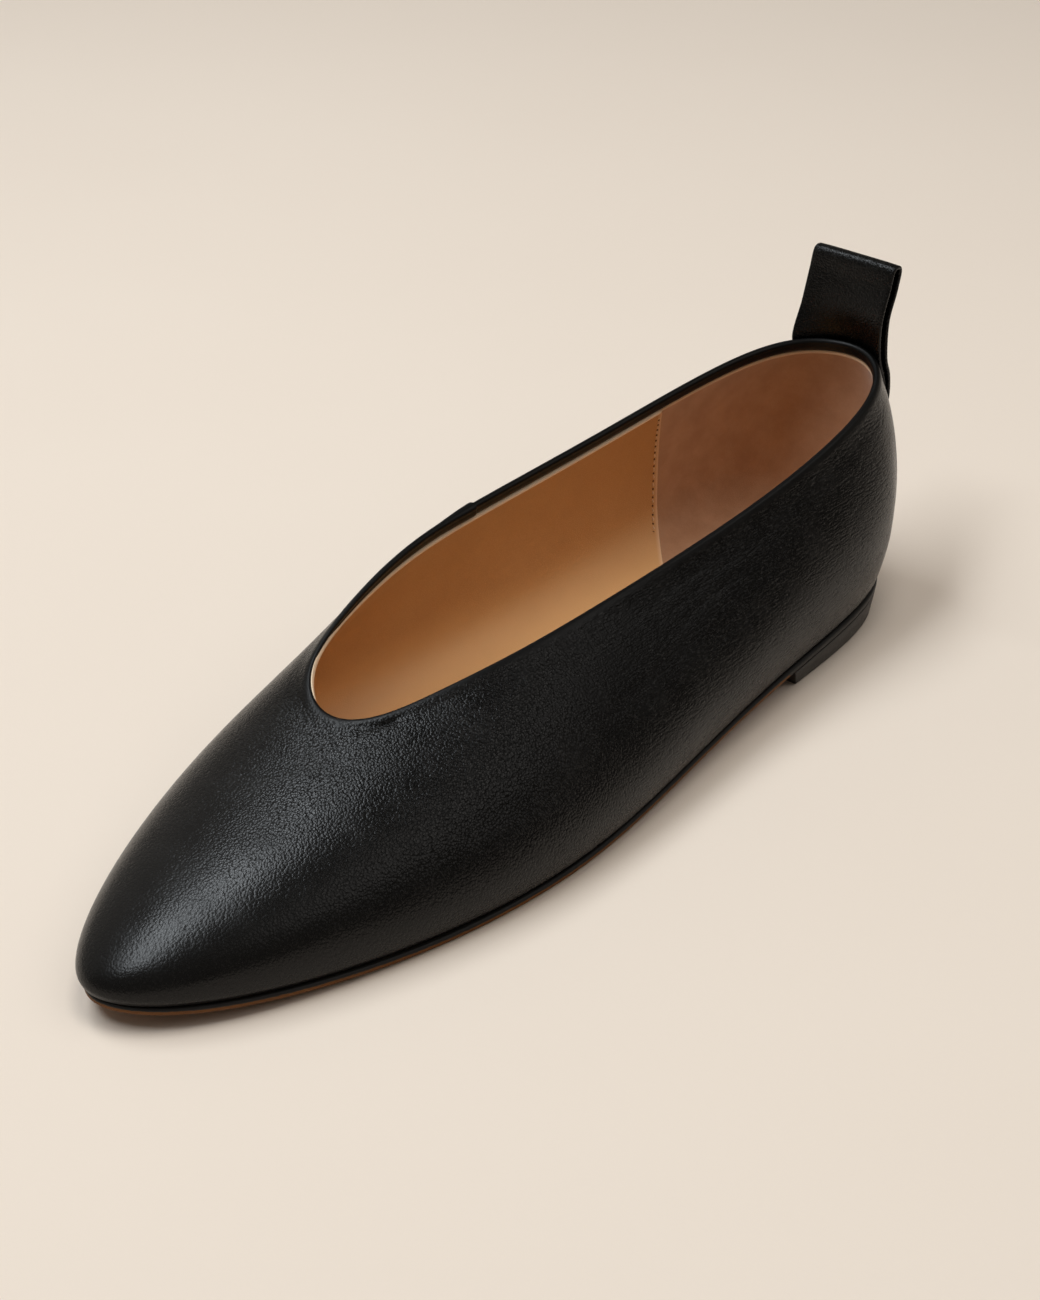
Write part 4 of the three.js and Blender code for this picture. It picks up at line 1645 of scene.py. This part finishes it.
@dataclass(frozen=True)
class StitchRow:
    """A row of single stitches laid into a leather face."""

    length: float = 2.3
    gap: float = 0.75
    radius: float = 0.24
    sink: float = 0.08
    start: float = 0.0
    arch: float = 1.1
    dip: float = 0.5
    tip: float = 0.01
    rings: int = 9
    sides: int = 6

    def piece(self, name: str, points: Array, normals: Array) -> Piece:
        """Stitches along lines.

        Each stitch is a many-sided spindle whose ends dip into the leather: its radius is the
        square root of sin(pi t) and its middle rises by sin(pi t).

        Args:
            name: the piece's name.
            points: lines by points by 3.
            normals: outward normals at the points.

        Returns:
            All stitches as one piece.
        """
        rings, faces, start = [], [], 0
        t, turn = np.linspace(0, 1, self.rings), np.linspace(0, 2 * np.pi, self.sides, endpoint=False)
        swell = np.sqrt(np.sin(np.pi * np.clip(t, self.tip, 1 - self.tip)))
        for line, out in zip(points, normals):
            far = walked(line[None])[0]
            count = int((far[-1] + self.gap) / (self.length + self.gap))
            first = self.start + np.arange(count) * (self.length + self.gap)
            where = first[:, None] + t[None, :] * self.length
            spine, up = sampled(where, far, line), unit(sampled(where, far, out))
            ahead = unit(np.gradient(spine, axis=1))
            side = np.cross(ahead, up)
            lift = self.radius * self.arch * np.sin(np.pi * t) - self.radius * self.dip - self.sink
            spine = spine + up * lift[None, :, None]
            ring = np.cos(turn)[:, None] * side[:, :, None] + np.sin(turn)[:, None] * up[:, :, None]
            ring = spine[:, :, None] + ring * (self.radius * swell)[None, :, None, None]
            one = quads(len(t), len(turn), ring=False, tube=True)
            each = start + np.arange(count)[:, None, None] * len(t) * len(turn)
            faces.append((one[None] + each).reshape(-1, 4))
            rings.append(ring.reshape(-1, 3))
            start += ring.size // 3
        return Piece(name, np.concatenate(rings), np.concatenate(faces), crease_angle=80)


@dataclass
class Stitching:
    """The seen stitch rows: beside the closing seam, beside the grip's seams and on the tab."""

    upper: Upper
    lining: Lining
    tab: PullTab
    seam_off: float = 1.5
    seam_ends: tuple[float, float] = (0.1, 0.955)
    seam_points: int = 120
    tab_points: int = 60
    grip_off: float = 1.6
    grip_points: int = 90
    outside: StitchRow = StitchRow()
    inside: StitchRow = StitchRow(length=1.5, gap=0.8, radius=0.3, sink=0.1)
    # Dark spindles sunk between the lining's stitches: painted shade in the needle holes.
    hole_shade_row: StitchRow = StitchRow(length=0.8, gap=1.5, radius=0.3, sink=0.17, start=1.5)

    def seam_line(self, count: int) -> tuple[Array, Array]:
        """Points and normals of the row on the front panel beside its edge.

        Args:
            count: points of the row.

        Returns:
            Points and normals, one line by count by 3.
        """
        upper, last = self.upper, self.upper.last
        v = np.linspace(*self.seam_ends, count)
        u = upper.seam - self.seam_off / upper.pace(v)
        bent = upper.bent(u, v)
        normal = last.normal(bent, v)
        return (last.surface(bent, v) + normal * upper.raised(u)[:, None])[None], normal[None]

    def build(self, black: bpy.types.Material, tan: bpy.types.Material, hole: bpy.types.Material) -> None:
        """Builds the rows, and painted needle-hole shade between every two stitches of the lining.

        Args:
            black: thread on the outside.
            tan: thread on the lining.
            hole: dark finish of the painted shade in the needle holes.
        """
        last = self.upper.last
        seam = self.seam_line(self.seam_points)
        tab = self.tab.stitch_line(self.tab_points)
        grip = self.lining.seam_line(self.grip_off, self.grip_points)
        for row, name, line, finish, slot in (
            (self.outside, "seam_stitches", seam, black, "black_leather"),
            (self.outside, "tab_stitches", tab, black, "black_leather"),
            (self.inside, "grip_stitches", grip, tan, "tan_lining"),
            (self.hole_shade_row, "grip_needle_hole_shade", grip, hole, "tan_lining"),
        ):
            row.piece(name, *line).build(last, finish, slot)


@dataclass(frozen=True)
class SoftLight:
    """A soft box that shines at the shoe's middle; its first size is the level one."""

    name: str
    place: Triple
    size: tuple[float, float]
    power: float
    colour: Colour
    mirrored: bool = True
    target: Triple = (0.0, 0.0, 0.03)

    def build(self) -> None:
        """Hangs the light."""
        lamp = bpy.data.lights.new(self.name, "AREA")
        lamp.shape = "RECTANGLE"
        lamp.size, lamp.size_y = self.size
        lamp.energy = self.power
        lamp.color = self.colour
        hung(self.name, lamp, self.place, self.target).visible_glossy = self.mirrored


def hung(name: str, data: bpy.types.ID, place: Triple, target: Triple) -> bpy.types.Object:
    """A light or camera at a place, turned towards a target."""
    made = added(name, data)
    made.location = place
    made.rotation_mode = "QUATERNION"
    back = np.array(place) - np.array(target)
    made.rotation_quaternion = Vector(back.tolist()).to_track_quat("Z", "Y")
    return made


@dataclass
class Studio:
    """Pale floor, soft lights, and a camera at the photograph's angle to the shoe."""

    eye: Triple = (0.276, -0.3155, 0.2855)
    target: Triple = (0.002, -0.006, 0.03)
    lens: float = 61.0
    sensor: float = 36.0
    floor_size: float = 6.0
    air: Colour = (1.0, 0.9, 0.79)
    air_strength: float = 0.13
    lights: tuple[SoftLight, ...] = (
        SoftLight("key", (-0.47, -0.3, 1.3), (1.3, 0.24), 14.5, (0.89, 0.95, 1.0)),
        SoftLight("wall", (-1.7, -0.3, 0.8), (3.0, 1.4), 3.1, (1.0, 0.95, 0.89)),
        SoftLight("return", (0.85, 0.45, 1.3), (1.4, 0.9), 4.0, (1.0, 0.97, 0.94)),
        SoftLight("ceiling", (0.1, 0.1, 1.5), (0.55, 0.55), 6.6, (1.0, 0.985, 0.96), mirrored=False),
    )

    def build(self) -> None:
        """Builds floor, lights, air and camera."""
        scene = bpy.context.scene
        scene.view_settings.view_transform = "Standard"
        for light in self.lights:
            light.build()
        world = bpy.data.worlds.new("air")
        world.use_nodes = True
        backdrop = world.node_tree.nodes["Background"]
        backdrop.inputs["Color"].default_value = (*self.air, 1)
        backdrop.inputs["Strength"].default_value = self.air_strength
        scene.world = world
        self.build_floor()
        lens = bpy.data.cameras.new("camera")
        lens.lens, lens.sensor_width = self.lens, self.sensor
        lens.clip_start, lens.clip_end = 0.01, 50
        scene.camera = hung("camera", lens, self.eye, self.target)

    def build_floor(self) -> None:
        """Lays the floor as one square sheet at height zero."""
        half = self.floor_size / 2
        corners = [(-half, -half, 0), (half, -half, 0), (half, half, 0), (-half, half, 0)]
        mesh = bpy.data.meshes.new("floor")
        mesh.from_pydata(corners, [], [(0, 1, 2, 3)])
        mesh.materials.append(PaleFloor().make())
        floor = added("floor", mesh)


def main() -> None:
    """Builds the shoe's sub-assemblies in order, then the studio."""
    logging.basicConfig(level=logging.INFO, format="%(name)s: %(message)s")
    last = placed_last()
    black = PebbledLeather().make()
    tan = LiningLeather().make()
    upper, lining, tab = Upper(last), Lining(last), PullTab(last)
    upper.build(black)
    lining.build(tan, NappedLeather().make())
    Sock(last).build(tan)
    Outsole(last).build(SoleLeather().make())
    HeelBlock(last).build(HeelStack().make())
    tab.build(black)
    black_thread = Thread("black thread", (0.02, 0.019, 0.018), (0.006, 0.006, 0.006)).make()
    tan_thread = Thread("tan thread", (0.85, 0.62, 0.4), (0.65, 0.4, 0.2)).make()
    # Dark finish for the painted shade in the needle holes.
    needle_hole = Thread("needle hole shade", (0.14, 0.065, 0.025), (0.09, 0.04, 0.015)).make()
    Stitching(upper, lining, tab).build(black_thread, tan_thread, needle_hole)
    Studio().build()


if __name__ == "__main__":
    main()
